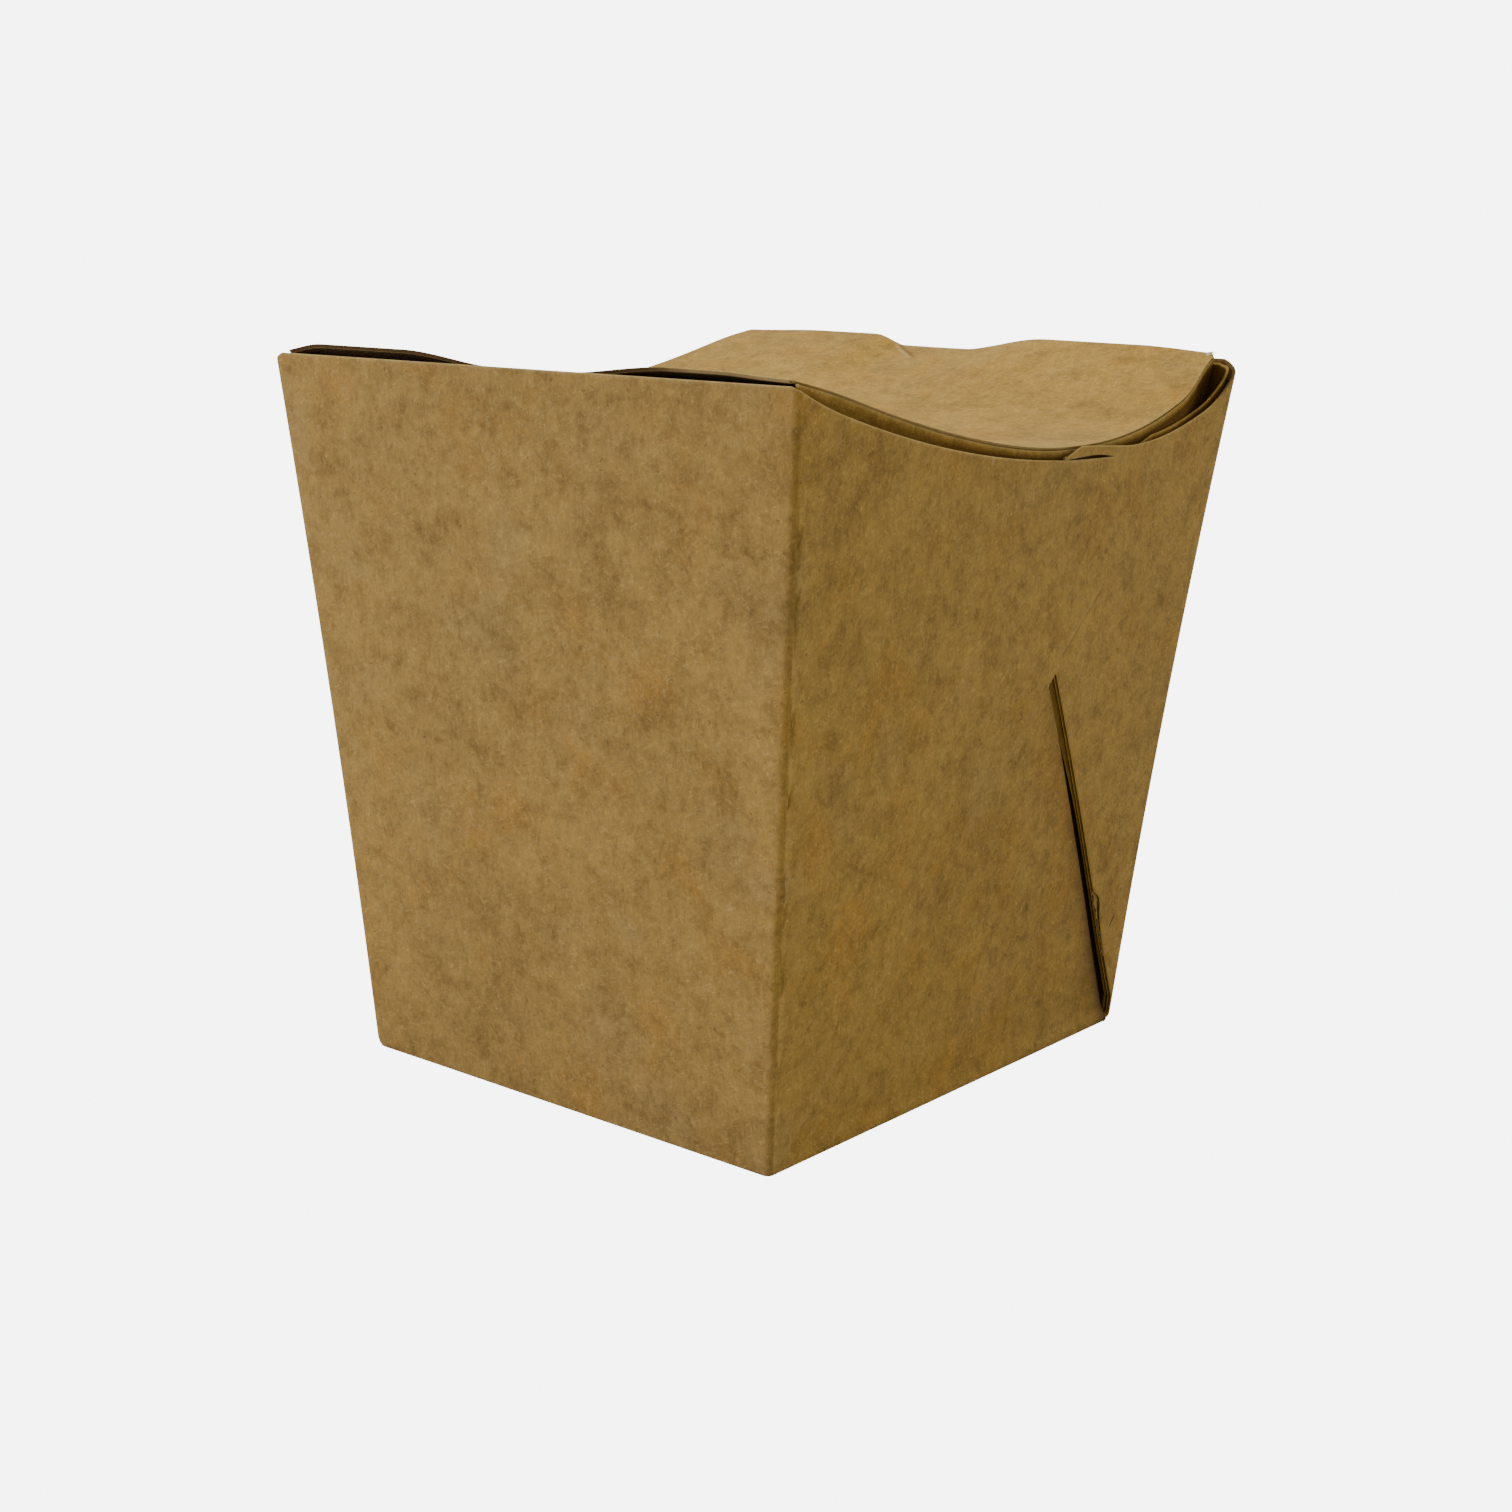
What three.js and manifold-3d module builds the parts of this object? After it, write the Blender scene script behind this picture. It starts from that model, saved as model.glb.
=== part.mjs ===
// Noodle takeaway box: a folded kraft board carton, pressed shut, as one solid.
// Millimetres, +Z up. The origin is the middle of the face it stands on.
// The front (-Y) and back (+Y) walls are plain. The right (+X) and left (-X) walls are gusseted,
// with a dipped rim, a fold line and a slit. Half a turn about Z maps the carton onto itself,
// apart from how its loose corners bow and how far the lid's panels stand up.

import * as THREE from 'three';
import { mergeVertices } from 'three/addons/utils/BufferGeometryUtils.js';
import Module from 'manifold-3d';

// Driving dimensions
const HEIGHT = 101;
const BASE = { x: 73.5, y: 84 };
const TOP = { x: 93, y: 105 };
const BOARD = 0.45;
const KRAFT = 0x9b7d4c;

// Corner folds: two are tight, two are where the outer sheet wraps round loosely
const TIGHT_RADIUS = 1;
const LOOSE_RADIUS = { base: 1.2, top: 3.5 };
const BASE_EDGE = 0.5;

// A loose corner's edge bows: it stands in most at one height and runs out above and below it
const LOOSE_BOW = {
  right: { least: -0.32, height: 45, growth: 0.96 },
  left: { least: -0.48, height: 62, growth: 0.72 },
};
const BOW_SPAN = 50;
const BOW_REACH = 9;

// The straight rims stand a little above or below the full height at their corners
const RIM_AT_TIGHT = 0.3;
const RIM_AT_LOOSE = { front: -0.4, back: 0.3 };

// Dipped rim of a gusseted wall, told for the right one and turned half round for the left one
const RIM_DIP = 12.4;
const RIM_LOW_Y = 16;
const STEP_Y = { foot: 9, head: 11.6 };
const FAR_RIM = { low: 90.4, y: 24, rise: 0.0092 };
const CORNER_RISE_POWER = 0.75;

// Lid: a saddle that hangs between the two dipped rims
const LID_DIP = { right: 10.5, left: 8.6 };
const LID_LOW_Y = 10;
const LID_NEAR_ROUNDNESS = 0.4;
const LID_FAR_POWER = 2.3;
const LID_INSET = { straight: 1.1, dipped: 1 };
const LID_TAPER = { from: 38, inset: 2.6 };
const LID_RADIUS = 1;
const LIFT_FADE = 18;

// Stretches of the lid's straight edges that stand above the rim: the way up, the way down, the height
const BACK_LIFTS = [
  { up: [-3, 13.5], down: [39, 47], height: 2.35, left: 0.4 },
  { up: [-12.5, -19], down: [-30, -46], height: 1.7, left: 0.7 },
];
const FRONT_LIFTS = [
  { up: [-2, -20], down: [-38, -47], height: 1.55, left: 0.5 },
  { up: [8, 18], down: [36, 46], height: 0.6, left: 1.6 },
];

// Groove between the outer sheet and the lid
const GROOVE_INSET = 0.55;
const GROOVE_GAP = 0.12;
const GROOVE_DEPTH = { near: 1.4, far: 4.2 };
const FAR_POCKET = { from: 20, to: 40 };

// Folded ply that stands in the pocket at each loose corner
const PLY = { inset: 1.05, fromY: 28, pastCorner: 5, below: 5.5, drop: 0.5 };

// Gusset triangle on a dipped wall, as distances along the base and up the slope from its near corner
const TRIANGLE = {
  near: [1, 0.4],
  neck: [52.9, 58.2],
  peak: [54.2, 59.6],
  end: [83.9, 3.4],
  foot: [83.2, 0.4],
  depth: 0.5,
};
const SLIT = { foot: [82.4, 0.9], depth: 2 };
const TONGUE_SLIT = { from: [9, 88.9], to: [22, 88.9], sag: 0.25, width: 0.6, depth: 1.2 };

// Fineness
const SIDE_STEPS = 14;
const STEP_STEPS = 2;
const TIGHT_STEPS = 4;
const LOOSE_STEPS = 7;
const WALL_LEVELS = [0.25, 0.5, 0.7, 0.85];
const LID_RINGS = [0.97, 0.9, 0.78, 0.62, 0.45, 0.28, 0.12];

const wasm = await Module();
wasm.setup();

// Smooth step from 0 at the first value to 1 at the second, which may be the smaller one
function ease(from, to, value) {
  const share = THREE.MathUtils.clamp((value - from) / (to - from), 0, 1);
  return share * share * (3 - 2 * share);
}

function halfSizes(level) {
  return {
    x: THREE.MathUtils.lerp(BASE.x, TOP.x, level) / 2,
    y: THREE.MathUtils.lerp(BASE.y, TOP.y, level) / 2,
  };
}

function looseRadius(level) {
  return THREE.MathUtils.lerp(LOOSE_RADIUS.base, LOOSE_RADIUS.top, level * level);
}

// Height of the outer sheet along the right wall, y being the distance along it
function dippedRim(y) {
  const near = (RIM_LOW_Y - y) / (RIM_LOW_Y + TOP.y / 2);
  const nearRim = HEIGHT + RIM_AT_TIGHT - (RIM_DIP + RIM_AT_TIGHT) * (1 - near * near);
  const farRim = FAR_RIM.low + FAR_RIM.rise * (y - FAR_RIM.y) ** 2;
  if (y <= STEP_Y.foot) return nearRim;
  if (y >= STEP_Y.head) return farRim;
  return THREE.MathUtils.mapLinear(y, STEP_Y.foot, STEP_Y.head, nearRim, farRim);
}

// Height of the outer sheet round a loose corner, turn running from 0 on the dipped wall to 1,
// and wall naming the straight wall that the corner leads to
function looseCornerRim(turn, wall) {
  const start = dippedRim(TOP.y / 2 - LOOSE_RADIUS.top);
  return THREE.MathUtils.lerp(start, HEIGHT + RIM_AT_LOOSE[wall], turn ** CORNER_RISE_POWER);
}

// Height of a straight rim, share running from its tight corner to its loose one
function straightRim(share, wall) {
  return HEIGHT + THREE.MathUtils.lerp(RIM_AT_TIGHT, RIM_AT_LOOSE[wall], share);
}

function edgeLift(lifts, x) {
  return lifts.reduce((sum, lift) => {
    const up = ease(lift.up[0], lift.up[1], x);
    const down = ease(lift.down[0], lift.down[1], x);
    return sum + lift.height * up * (1 - (1 - lift.left) * down);
  }, 0);
}

// The lid sinks from both straight rims to a low line that runs askew between the dipped walls
function lidHeight(x, y) {
  const half = TOP.y / 2;
  const across = THREE.MathUtils.clamp(x / (TOP.x / 2), -1, 1);
  const low = LID_LOW_Y * across;
  const dip = THREE.MathUtils.lerp(LID_DIP.left, LID_DIP.right, (1 + across) / 2);
  const tightSide = x >= 0 ? y < low : y > low;
  const reach = y < low ? half + low : half - low;
  const away = Math.min(Math.abs(y - low) / reach, 1);
  const e = LID_NEAR_ROUNDNESS;
  const nearRise = (Math.hypot(e, away) - e) / (Math.hypot(e, 1) - e);
  const farRise = away ** LID_FAR_POWER;
  const own = tightSide ? nearRise : farRise;
  const mean = (nearRise + farRise) / 2;
  const rise = THREE.MathUtils.lerp(mean, own, Math.abs(across));
  const back = edgeLift(BACK_LIFTS, x) * Math.exp(-(((half - y) / LIFT_FADE) ** 2));
  const front = edgeLift(FRONT_LIFTS, x) * Math.exp(-(((half + y) / LIFT_FADE) ** 2));
  return HEIGHT - dip * (1 - rise) + back + front;
}

// Stations round the carton, anticlockwise from the front wall's left end
function makeStations() {
  const stations = [];
  const top = halfSizes(1);
  const run = 2 * top.y - TIGHT_RADIUS - LOOSE_RADIUS.top;
  const shareOf = (y) => (y + top.y - TIGHT_RADIUS) / run;
  const walls = [
    { normal: 0, name: 'front', corner: 'tight' },
    { normal: 1, name: 'right', corner: 'loose' },
    { normal: 2, name: 'back', corner: 'tight' },
    { normal: 3, name: 'left', corner: 'loose' },
  ];
  for (const wall of walls) {
    const plain = wall.name === 'front' || wall.name === 'back';
    const foot = shareOf(STEP_Y.foot);
    const head = shareOf(STEP_Y.head);
    const stretches = plain
      ? [[0, 1, 2 * SIDE_STEPS]]
      : [[0, foot, SIDE_STEPS], [foot, head, STEP_STEPS], [head, 1, SIDE_STEPS]];
    for (const [from, to, count] of stretches) {
      for (let i = 0; i < count; i += 1) {
        stations.push({ ...wall, share: from + ((to - from) * i) / count, turn: null });
      }
    }
    const steps = wall.corner === 'tight' ? TIGHT_STEPS : LOOSE_STEPS;
    for (let i = 0; i < steps; i += 1) {
      stations.push({ ...wall, share: 1, turn: i / steps });
    }
  }
  return stations;
}

const STATIONS = makeStations();

// Moves a point of the outer sheet out or in, along the diagonal of the loose corner near it
function bowed(place, z) {
  const side = Math.sign(place.x + place.y);
  const half = halfSizes(z / HEIGHT);
  const { least, height, growth } = side > 0 ? LOOSE_BOW.right : LOOSE_BOW.left;
  const shift = least + growth * ((z - height) / BOW_SPAN) ** 2;
  const away = Math.hypot(place.x - side * half.x, place.y - side * half.y);
  const out = side * Math.SQRT1_2 * shift * Math.exp(-((away / BOW_REACH) ** 2));
  return new THREE.Vector2(place.x + out, place.y + out);
}

// A station's place on a rounded rectangle, walls being 0 front, 1 right, 2 back, 3 left
function placeOn(station, half, tight, loose) {
  const along = station.normal % 2 === 0 ? half.x : half.y;
  const out = station.normal % 2 === 0 ? half.y : half.x;
  const endRadius = station.corner === 'tight' ? tight : loose;
  const startRadius = station.corner === 'tight' ? loose : tight;
  const local = new THREE.Vector2();
  if (station.turn === null) {
    local.x = THREE.MathUtils.lerp(-along + startRadius, along - endRadius, station.share);
    local.y = -out;
  } else {
    const angle = (station.turn * Math.PI) / 2;
    local.x = along - endRadius + endRadius * Math.sin(angle);
    local.y = -out + endRadius - endRadius * Math.cos(angle);
  }
  return local.rotateAround(new THREE.Vector2(), (station.normal * Math.PI) / 2);
}

function outline(level, inset) {
  const half = halfSizes(level);
  half.x -= inset;
  half.y -= inset;
  const tight = Math.max(TIGHT_RADIUS - inset, 0.3);
  const loose = Math.max(looseRadius(level) - inset, 0.3);
  return STATIONS.map((station) => placeOn(station, half, tight, loose));
}

function lidOutline() {
  const half = halfSizes(1);
  half.x -= LID_INSET.dipped;
  half.y -= LID_INSET.straight;
  return STATIONS.map((station) => {
    const place = placeOn(station, half, LID_RADIUS, LID_RADIUS);
    const side = Math.sign(place.x);
    place.x -= side * LID_TAPER.inset * ease(LID_TAPER.from, half.y, side * place.y);
    return place;
  });
}

// Rim height of the outer sheet at a station
function rimAt(station, place) {
  const side = station.normal === 0 || station.normal === 1 ? 1 : -1;
  if (station.turn !== null) {
    if (station.corner === 'tight') return HEIGHT + RIM_AT_TIGHT;
    return looseCornerRim(station.turn, station.name === 'right' ? 'back' : 'front');
  }
  if (station.normal % 2 === 1) return dippedRim(side * place.y);
  return straightRim(1 - station.share, station.name);
}

// The groove is shallow along the near stretch and deep in the pocket at the loose corner
function grooveDepth(place) {
  const far = ease(FAR_POCKET.from, FAR_POCKET.to, Math.sign(place.x) * place.y);
  return THREE.MathUtils.lerp(GROOVE_DEPTH.near, GROOVE_DEPTH.far, far);
}

// Shift of a wall's ring towards the middle where its rim is lower than the full height
function leanIn(place, z) {
  const top = halfSizes(1);
  const here = halfSizes(z / HEIGHT);
  return new THREE.Vector2((place.x * here.x) / top.x, (place.y * here.y) / top.y);
}

function ring(places, heights) {
  return places.map((place, i) => new THREE.Vector3(place.x, place.y, heights[i]));
}

// Closed skin over a stack of rings, from the pole under the first one to the pole over the last
function skin(rings, bottomPole, topPole) {
  const count = STATIONS.length;
  const positions = [bottomPole, ...rings.flat(), topPole].flatMap((p) => [p.x, p.y, p.z]);
  const index = [];
  const at = (r, i) => 1 + r * count + (i % count);
  const last = rings.length - 1;
  const top = 1 + rings.length * count;
  for (let i = 0; i < count; i += 1) {
    index.push(0, at(0, i + 1), at(0, i));
    index.push(top, at(last, i), at(last, i + 1));
    for (let r = 0; r < last; r += 1) {
      index.push(at(r, i), at(r, i + 1), at(r + 1, i + 1));
      index.push(at(r, i), at(r + 1, i + 1), at(r + 1, i));
    }
  }
  const geometry = new THREE.BufferGeometry();
  geometry.setAttribute('position', new THREE.Float32BufferAttribute(positions, 3));
  geometry.setIndex(index);
  return geometry;
}

function cartonBody() {
  const topPlaces = outline(1, 0);
  const rim = STATIONS.map((station, i) => rimAt(station, topPlaces[i]));
  const rings = [];
  const base = (inset) => outline(0, inset).map((place) => bowed(place, 0));
  rings.push(ring(base(BASE_EDGE), STATIONS.map(() => 0)));
  rings.push(ring(base(0), STATIONS.map(() => BASE_EDGE)));
  const wallHeights = [...WALL_LEVELS, 1].map((level) => rim.map((z) => z * level));
  for (const heights of wallHeights) {
    rings.push(STATIONS.map((station, i) => {
      const level = heights[i] / HEIGHT;
      const flat = placeOn(station, halfSizes(level), TIGHT_RADIUS, looseRadius(level));
      const place = bowed(flat, heights[i]);
      return new THREE.Vector3(place.x, place.y, heights[i]);
    }));
  }
  const lid = lidOutline();
  const floor = rim.map((z, i) => z - grooveDepth(lid[i]));
  const inner = (inset, heights) => ring(
    outline(1, inset).map((place, i) => bowed(leanIn(place, rim[i]), rim[i])),
    heights,
  );
  rings.push(inner(BOARD, rim));
  rings.push(inner(GROOVE_INSET, floor));
  const lidLean = lid.map((place, i) => leanIn(place, rim[i]));
  const lidZ = lidLean.map((place) => lidHeight(place.x, place.y));
  const shrink = 1 - (2 * GROOVE_GAP) / TOP.x;
  rings.push(ring(lidLean.map((place) => place.clone().multiplyScalar(shrink)), floor));
  rings.push(ring(lidLean, lidZ));
  for (const size of LID_RINGS) {
    const places = lidLean.map((place) => place.clone().multiplyScalar(size));
    rings.push(ring(places, places.map((place) => lidHeight(place.x, place.y))));
  }
  const bottomPole = new THREE.Vector3(0, 0, 0);
  const topPole = new THREE.Vector3(0, 0, lidHeight(0, 0));
  return skin(rings, bottomPole, topPole);
}

// Frame of the right wall: along the base, up the slope, out of the face, from the near base corner
function rightWallFrame() {
  const lean = Math.atan2((TOP.x - BASE.x) / 2, HEIGHT);
  const along = new THREE.Vector3(0, 1, 0);
  const up = new THREE.Vector3(Math.sin(lean), 0, Math.cos(lean));
  const out = new THREE.Vector3(Math.cos(lean), 0, -Math.sin(lean));
  const frame = new THREE.Matrix4().makeBasis(along, up, out);
  return frame.setPosition(BASE.x / 2, -BASE.y / 2, 0);
}

// Prism on the right wall over an outline of points along and up it, sunk into the face
function wallCutter(points, depth) {
  const proud = 2;
  const shape = new THREE.Shape(points.map(([along, up]) => new THREE.Vector2(along, up)));
  const geometry = new THREE.ExtrudeGeometry(shape, { depth: depth + proud, bevelEnabled: false });
  geometry.translate(0, 0, -depth);
  return geometry.applyMatrix4(rightWallFrame());
}

function triangleCutter() {
  const { near, foot, end, peak, depth } = TRIANGLE;
  return wallCutter([near, foot, end, peak], depth);
}

// Wedge-shaped gap beside the cut edge that runs from the triangle's peak to the loose corner
function slitCutter() {
  return wallCutter([TRIANGLE.neck, SLIT.foot, TRIANGLE.end, TRIANGLE.peak], SLIT.depth);
}

// Thin sagging slot under the tongue of the dipped rim, cut in from the right
function tongueCutter() {
  const { from, to, sag, width, depth } = TONGUE_SLIT;
  const steps = 6;
  const lower = [];
  const upper = [];
  for (let i = 0; i <= steps; i += 1) {
    const share = i / steps;
    const y = THREE.MathUtils.lerp(from[0], to[0], share);
    const z = THREE.MathUtils.lerp(from[1], to[1], share) - 4 * sag * share * (1 - share);
    lower.push(new THREE.Vector2(y, z));
    upper.unshift(new THREE.Vector2(y, z + width * (1 - share) + 0.05));
  }
  const shape = new THREE.Shape([...lower, ...upper]);
  const reach = depth + 2;
  const geometry = new THREE.ExtrudeGeometry(shape, { depth: reach, bevelEnabled: false });
  const face = halfSizes(from[1] / HEIGHT).x;
  const frame = new THREE.Matrix4().makeBasis(
    new THREE.Vector3(0, 1, 0),
    new THREE.Vector3(0, 0, 1),
    new THREE.Vector3(1, 0, 0),
  );
  return geometry.applyMatrix4(frame.setPosition(face - depth, 0, 0));
}

// Ply that follows the inside of the outer sheet round the loose corner of the right wall
function plyStrip() {
  const top = halfSizes(1);
  const radius = LOOSE_RADIUS.top - PLY.inset;
  const path = [];
  const straightSteps = 5;
  const cornerStart = top.y - LOOSE_RADIUS.top;
  for (let i = 0; i < straightSteps; i += 1) {
    const y = THREE.MathUtils.lerp(PLY.fromY, cornerStart, i / straightSteps);
    path.push({ x: top.x - PLY.inset, y, nx: 1, ny: 0, rim: dippedRim(y) });
  }
  for (let i = 0; i <= LOOSE_STEPS; i += 1) {
    const turn = i / LOOSE_STEPS;
    const angle = (turn * Math.PI) / 2;
    const x = top.x - LOOSE_RADIUS.top + radius * Math.cos(angle);
    const y = cornerStart + radius * Math.sin(angle);
    const rim = looseCornerRim(turn, 'back');
    path.push({ x, y, nx: Math.cos(angle), ny: Math.sin(angle), rim });
  }
  const end = path[path.length - 1];
  path.push({ ...end, x: end.x - PLY.pastCorner });
  const sections = path.map(({ x, y, nx, ny, rim }, i) => {
    const grown = Math.min(i / 2, 1);
    const head = rim - THREE.MathUtils.lerp(3, PLY.drop, grown);
    const foot = rim - PLY.below;
    const outer = bowed(leanIn(new THREE.Vector2(x, y), rim), rim);
    const inner = bowed(leanIn(new THREE.Vector2(x - BOARD * nx, y - BOARD * ny), rim), rim);
    return [
      new THREE.Vector3(outer.x, outer.y, foot),
      new THREE.Vector3(outer.x, outer.y, head),
      new THREE.Vector3(inner.x, inner.y, head),
      new THREE.Vector3(inner.x, inner.y, foot),
    ];
  });
  return prismAlong(sections);
}

// Closed skin over a row of four-sided sections, capped at both ends
function prismAlong(sections) {
  const positions = sections.flat().flatMap((p) => [p.x, p.y, p.z]);
  const index = [];
  const last = sections.length - 1;
  for (let s = 0; s < last; s += 1) {
    for (let k = 0; k < 4; k += 1) {
      const a = s * 4 + k;
      const b = s * 4 + ((k + 1) % 4);
      index.push(a, a + 4, b + 4);
      index.push(a, b + 4, b);
    }
  }
  index.push(0, 1, 2, 0, 2, 3);
  index.push(last * 4, last * 4 + 2, last * 4 + 1, last * 4, last * 4 + 3, last * 4 + 2);
  const geometry = new THREE.BufferGeometry();
  geometry.setAttribute('position', new THREE.Float32BufferAttribute(positions, 3));
  geometry.setIndex(index);
  return geometry;
}

function toSolid(geometry) {
  const bare = new THREE.BufferGeometry();
  bare.setAttribute('position', geometry.getAttribute('position'));
  if (geometry.index) bare.setIndex(geometry.index);
  const merged = mergeVertices(bare, 1e-4);
  const mesh = new wasm.Mesh({
    numProp: 3,
    vertProperties: Float32Array.from(merged.getAttribute('position').array),
    triVerts: Uint32Array.from(merged.index.array),
  });
  return new wasm.Manifold(mesh);
}

function toGeometry(solid) {
  const { vertProperties, triVerts } = solid.getMesh();
  const geometry = new THREE.BufferGeometry();
  geometry.setAttribute('position', new THREE.BufferAttribute(vertProperties, 3));
  geometry.setIndex(new THREE.BufferAttribute(triVerts, 1));
  geometry.computeVertexNormals();
  return geometry;
}

// Both gusseted walls get the same detail, the second time turned half round
function onBothWalls(makeGeometry) {
  const first = makeGeometry();
  const second = first.clone().rotateZ(Math.PI);
  return [toSolid(first), toSolid(second)];
}

function foldedCarton() {
  let solid = toSolid(cartonBody());
  for (const ply of onBothWalls(plyStrip)) solid = solid.add(ply);
  for (const maker of [triangleCutter, slitCutter, tongueCutter]) {
    for (const cutter of onBothWalls(maker)) solid = solid.subtract(cutter);
  }
  const board = new THREE.MeshStandardMaterial({ color: KRAFT, roughness: 0.85, metalness: 0 });
  const mesh = new THREE.Mesh(toGeometry(solid), board);
  mesh.name = 'folded_carton';
  return mesh;
}

const carton = new THREE.Group();
carton.add(foldedCarton());

export default carton;
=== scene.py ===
"""Noodle takeaway box of kraft board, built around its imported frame.

Shapes are worked out in millimetres, in the frame's own axes: +Z up, the plain front wall towards -Y
and a gusseted wall towards +X. A mesh is turned into metres when it is made. Walls are numbered
0 front, 1 right, 2 back, 3 left, and half a turn about Z carries one side onto the other.
"""

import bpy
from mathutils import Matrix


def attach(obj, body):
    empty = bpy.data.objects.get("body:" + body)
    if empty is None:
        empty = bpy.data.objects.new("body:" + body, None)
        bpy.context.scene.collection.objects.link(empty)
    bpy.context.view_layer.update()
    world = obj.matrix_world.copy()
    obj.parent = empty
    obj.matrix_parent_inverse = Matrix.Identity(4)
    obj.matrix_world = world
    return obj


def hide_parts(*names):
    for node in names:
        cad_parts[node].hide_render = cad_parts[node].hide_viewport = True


bl_info = {
    "name": "Noodle Takeaway Box",
    "version": (1, 0, 0),
    "blender": (4, 5, 0),
    "location": "View3D > Sidebar > Carton",
    "description": "Builds a shut noodle takeaway box of folded kraft board",
    "category": "Add Mesh",
}

import math

import bpy
import numpy as np
from bpy.props import FloatProperty, FloatVectorProperty, PointerProperty
from mathutils import Matrix, Vector

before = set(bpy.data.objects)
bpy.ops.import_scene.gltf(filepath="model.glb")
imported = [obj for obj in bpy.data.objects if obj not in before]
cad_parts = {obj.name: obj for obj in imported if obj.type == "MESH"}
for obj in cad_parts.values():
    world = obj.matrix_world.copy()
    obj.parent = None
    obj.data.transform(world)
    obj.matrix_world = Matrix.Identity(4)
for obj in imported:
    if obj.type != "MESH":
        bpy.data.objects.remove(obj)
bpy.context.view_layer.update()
NODE = "folded_carton"
BODY = "root"
MM = 0.001


# Sizes of the carton, in millimetres

HEIGHT = 101.0
BASE_X, BASE_Y = 73.5, 84.0
TOP_X, TOP_Y = 93.0, 105.0
LEAN = math.atan2((TOP_X - BASE_X) / 2, HEIGHT)
TIGHT_RADIUS = 1.0
LOOSE_RADIUS_BASE, LOOSE_RADIUS_TOP = 1.2, 3.5
BASE_EDGE = 0.25

RIM_AT_TIGHT = 0.0
RIM_AT_LOOSE = {0: -0.4, 2: 0.3}
NEAR_LOW, NEAR_Y, NEAR_RISE = 89.0, 16.0, 0.00238
NEAR_TURN_UP, NEAR_TURN_FROM, NEAR_TURN_RUN = 0.55, 42.0, 9.5
STEP_FOOT, STEP_HEAD = 6.7, 11.0
SLIT_END_Y = 19.6
TONGUE_GAP, TONGUE_GAP_LEAST = 0.45, 0.05
FAR_LOW, FAR_Y, FAR_RISE, TONGUE_SLOPE = 90.3, 23.5, 0.0096, 0.05
FAR_TURN_UP, FAR_TURN_FROM, FAR_TURN_RUN = 1.6, 43.0, 6.0
TURN_POWER = 2.5
CORNER_RISE_POWER = 0.75
BACK_RIM_DIP = 0.5

# The walls are made in two courses that meet at this height
SEAM = 89.0

# The fold of a loose corner stands in most at one height and runs out above and below it.
# Each side has its own least shift, the height of that, and the growth away from it.
BOW = {1: (-0.32, 45.0, 0.96), -1: (-0.48, 62.0, 0.72)}
BOW_SPAN, BOW_REACH = 50.0, 9.0
SCUFF_DEPTH, SCUFF_HEIGHT = 0.5, 1.6

LID_DIP = {1: 10.5, -1: 8.6}
LID_LOW_Y = 10.0
LID_ROUNDNESS = 0.4
LID_FAR_POWER = 2.3
LID_INSET_X, LID_INSET_Y = 1.0, 1.1
LID_CORNER_REACH = 0.7
LID_TAPER_FROM, LID_TAPER = 38.0, 2.6
LID_CURL, LID_STEPS = 0.4, 90
LIFT_FADE = 18.0
# Stretches where the lid's straight edges stand up: the way up, the way down, the height, what is left
BACK_LIFTS = (((-3, 13.5), (30, 47), 2.35, 0.7), ((-12.5, -19), (-30, -46), 1.7, 0.7))
FRONT_LIFTS = (((-2, -20), (-36, -46), 1.55, 0.08), ((8, 26), (33, 46), 1.45, 0.6))

# Gusseted wall, as distances along the base and up the slope from its near base corner
CREASE_NEAR = (1.05, 0.5)
CREASE_PEAK = (54.2, 59.6)
CUT_NECK = (52.9, 58.2)
CUT_FOOT = (82.3, 0.9)
LIP_END = (83.9, 2.6)
CUT_BULGE = 1.0
LIP_BULGE = 0.6
TEAR_UP, TEAR_SIZE, TEAR_FADE = 22.6, 1.9, 3.6
CREASE_SINK, PANEL_STEP, PANEL_SINK = 0.1, 0.2, 0.3
# Painted shade on the sunken panel beside the slit: how far it reaches, and its most
PAINTED_SHADE_REACH, PAINTED_SHADE_MOST = 2.2, 0.95
PEAK_HEIGHT, NECK_HEIGHT = CREASE_PEAK[1] * math.cos(LEAN), CUT_NECK[1] * math.cos(LEAN)

# Plies behind a slit: how far in, how far back from the lip, the shade of the cut edge near the base and
# near the top (painted shade above 0, painted light below 0), and how far the ply reaches over the gap at the
# top
SLIT_PLIES = ((0.5, -0.02, (-1.0, -1.0), 0.0), (0.97, 0.02, (0.5, -0.9), 1.3))
SLIT_PLY_HEIGHT = 14.0
LINING_INSET, LINING_LOW, LINING_TOP = 2.3, 0.8, 72.0

# Plies at the rims
SKIRT_START, SKIRT_DROP = -51.8, 0.46
SKIRT_CORNER, SKIRT_BACK = 1.0, 6.0
LOOP_START, LOOP_DEPTH = 25.0, 6.5
LOOP_INSET, LOOP_RISE = (0.52, 1.05), (0.68, 0.45)
LOOP_FALL = {1: 1.0, 3: 2.6}

# Points are joined where they round to the same multiple of this, in millimetres
WELD = 0.002

# What a sheet tells its material at each point: wear with a painted edge highlight, and a shade. Above 0 it
# darkens the board as painted shade in gaps, plies and pockets, and below 0 it is painted light
SHEET_VALUES = ("worn", "shade")

# Rows close to a free edge, as distances from it, how far the edge is rounded in there, and its wear with a
# painted highlight
EDGE_ROWS = np.array((0.0, 0.08, 0.22, 0.55, 1.1))
EDGE_ROUND = np.array((0.12, 0.035, 0.0, 0.0, 0.0))
EDGE_WEAR_AND_HIGHLIGHT = np.array((1.0, 0.8, 0.25, 0.0, 0.0))


def ease(start, end, value):
    """Smooth step from 0 at start to 1 at end."""
    share = np.clip((value - start) / (end - start), 0, 1)
    return share * share * (3 - 2 * share)


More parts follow.
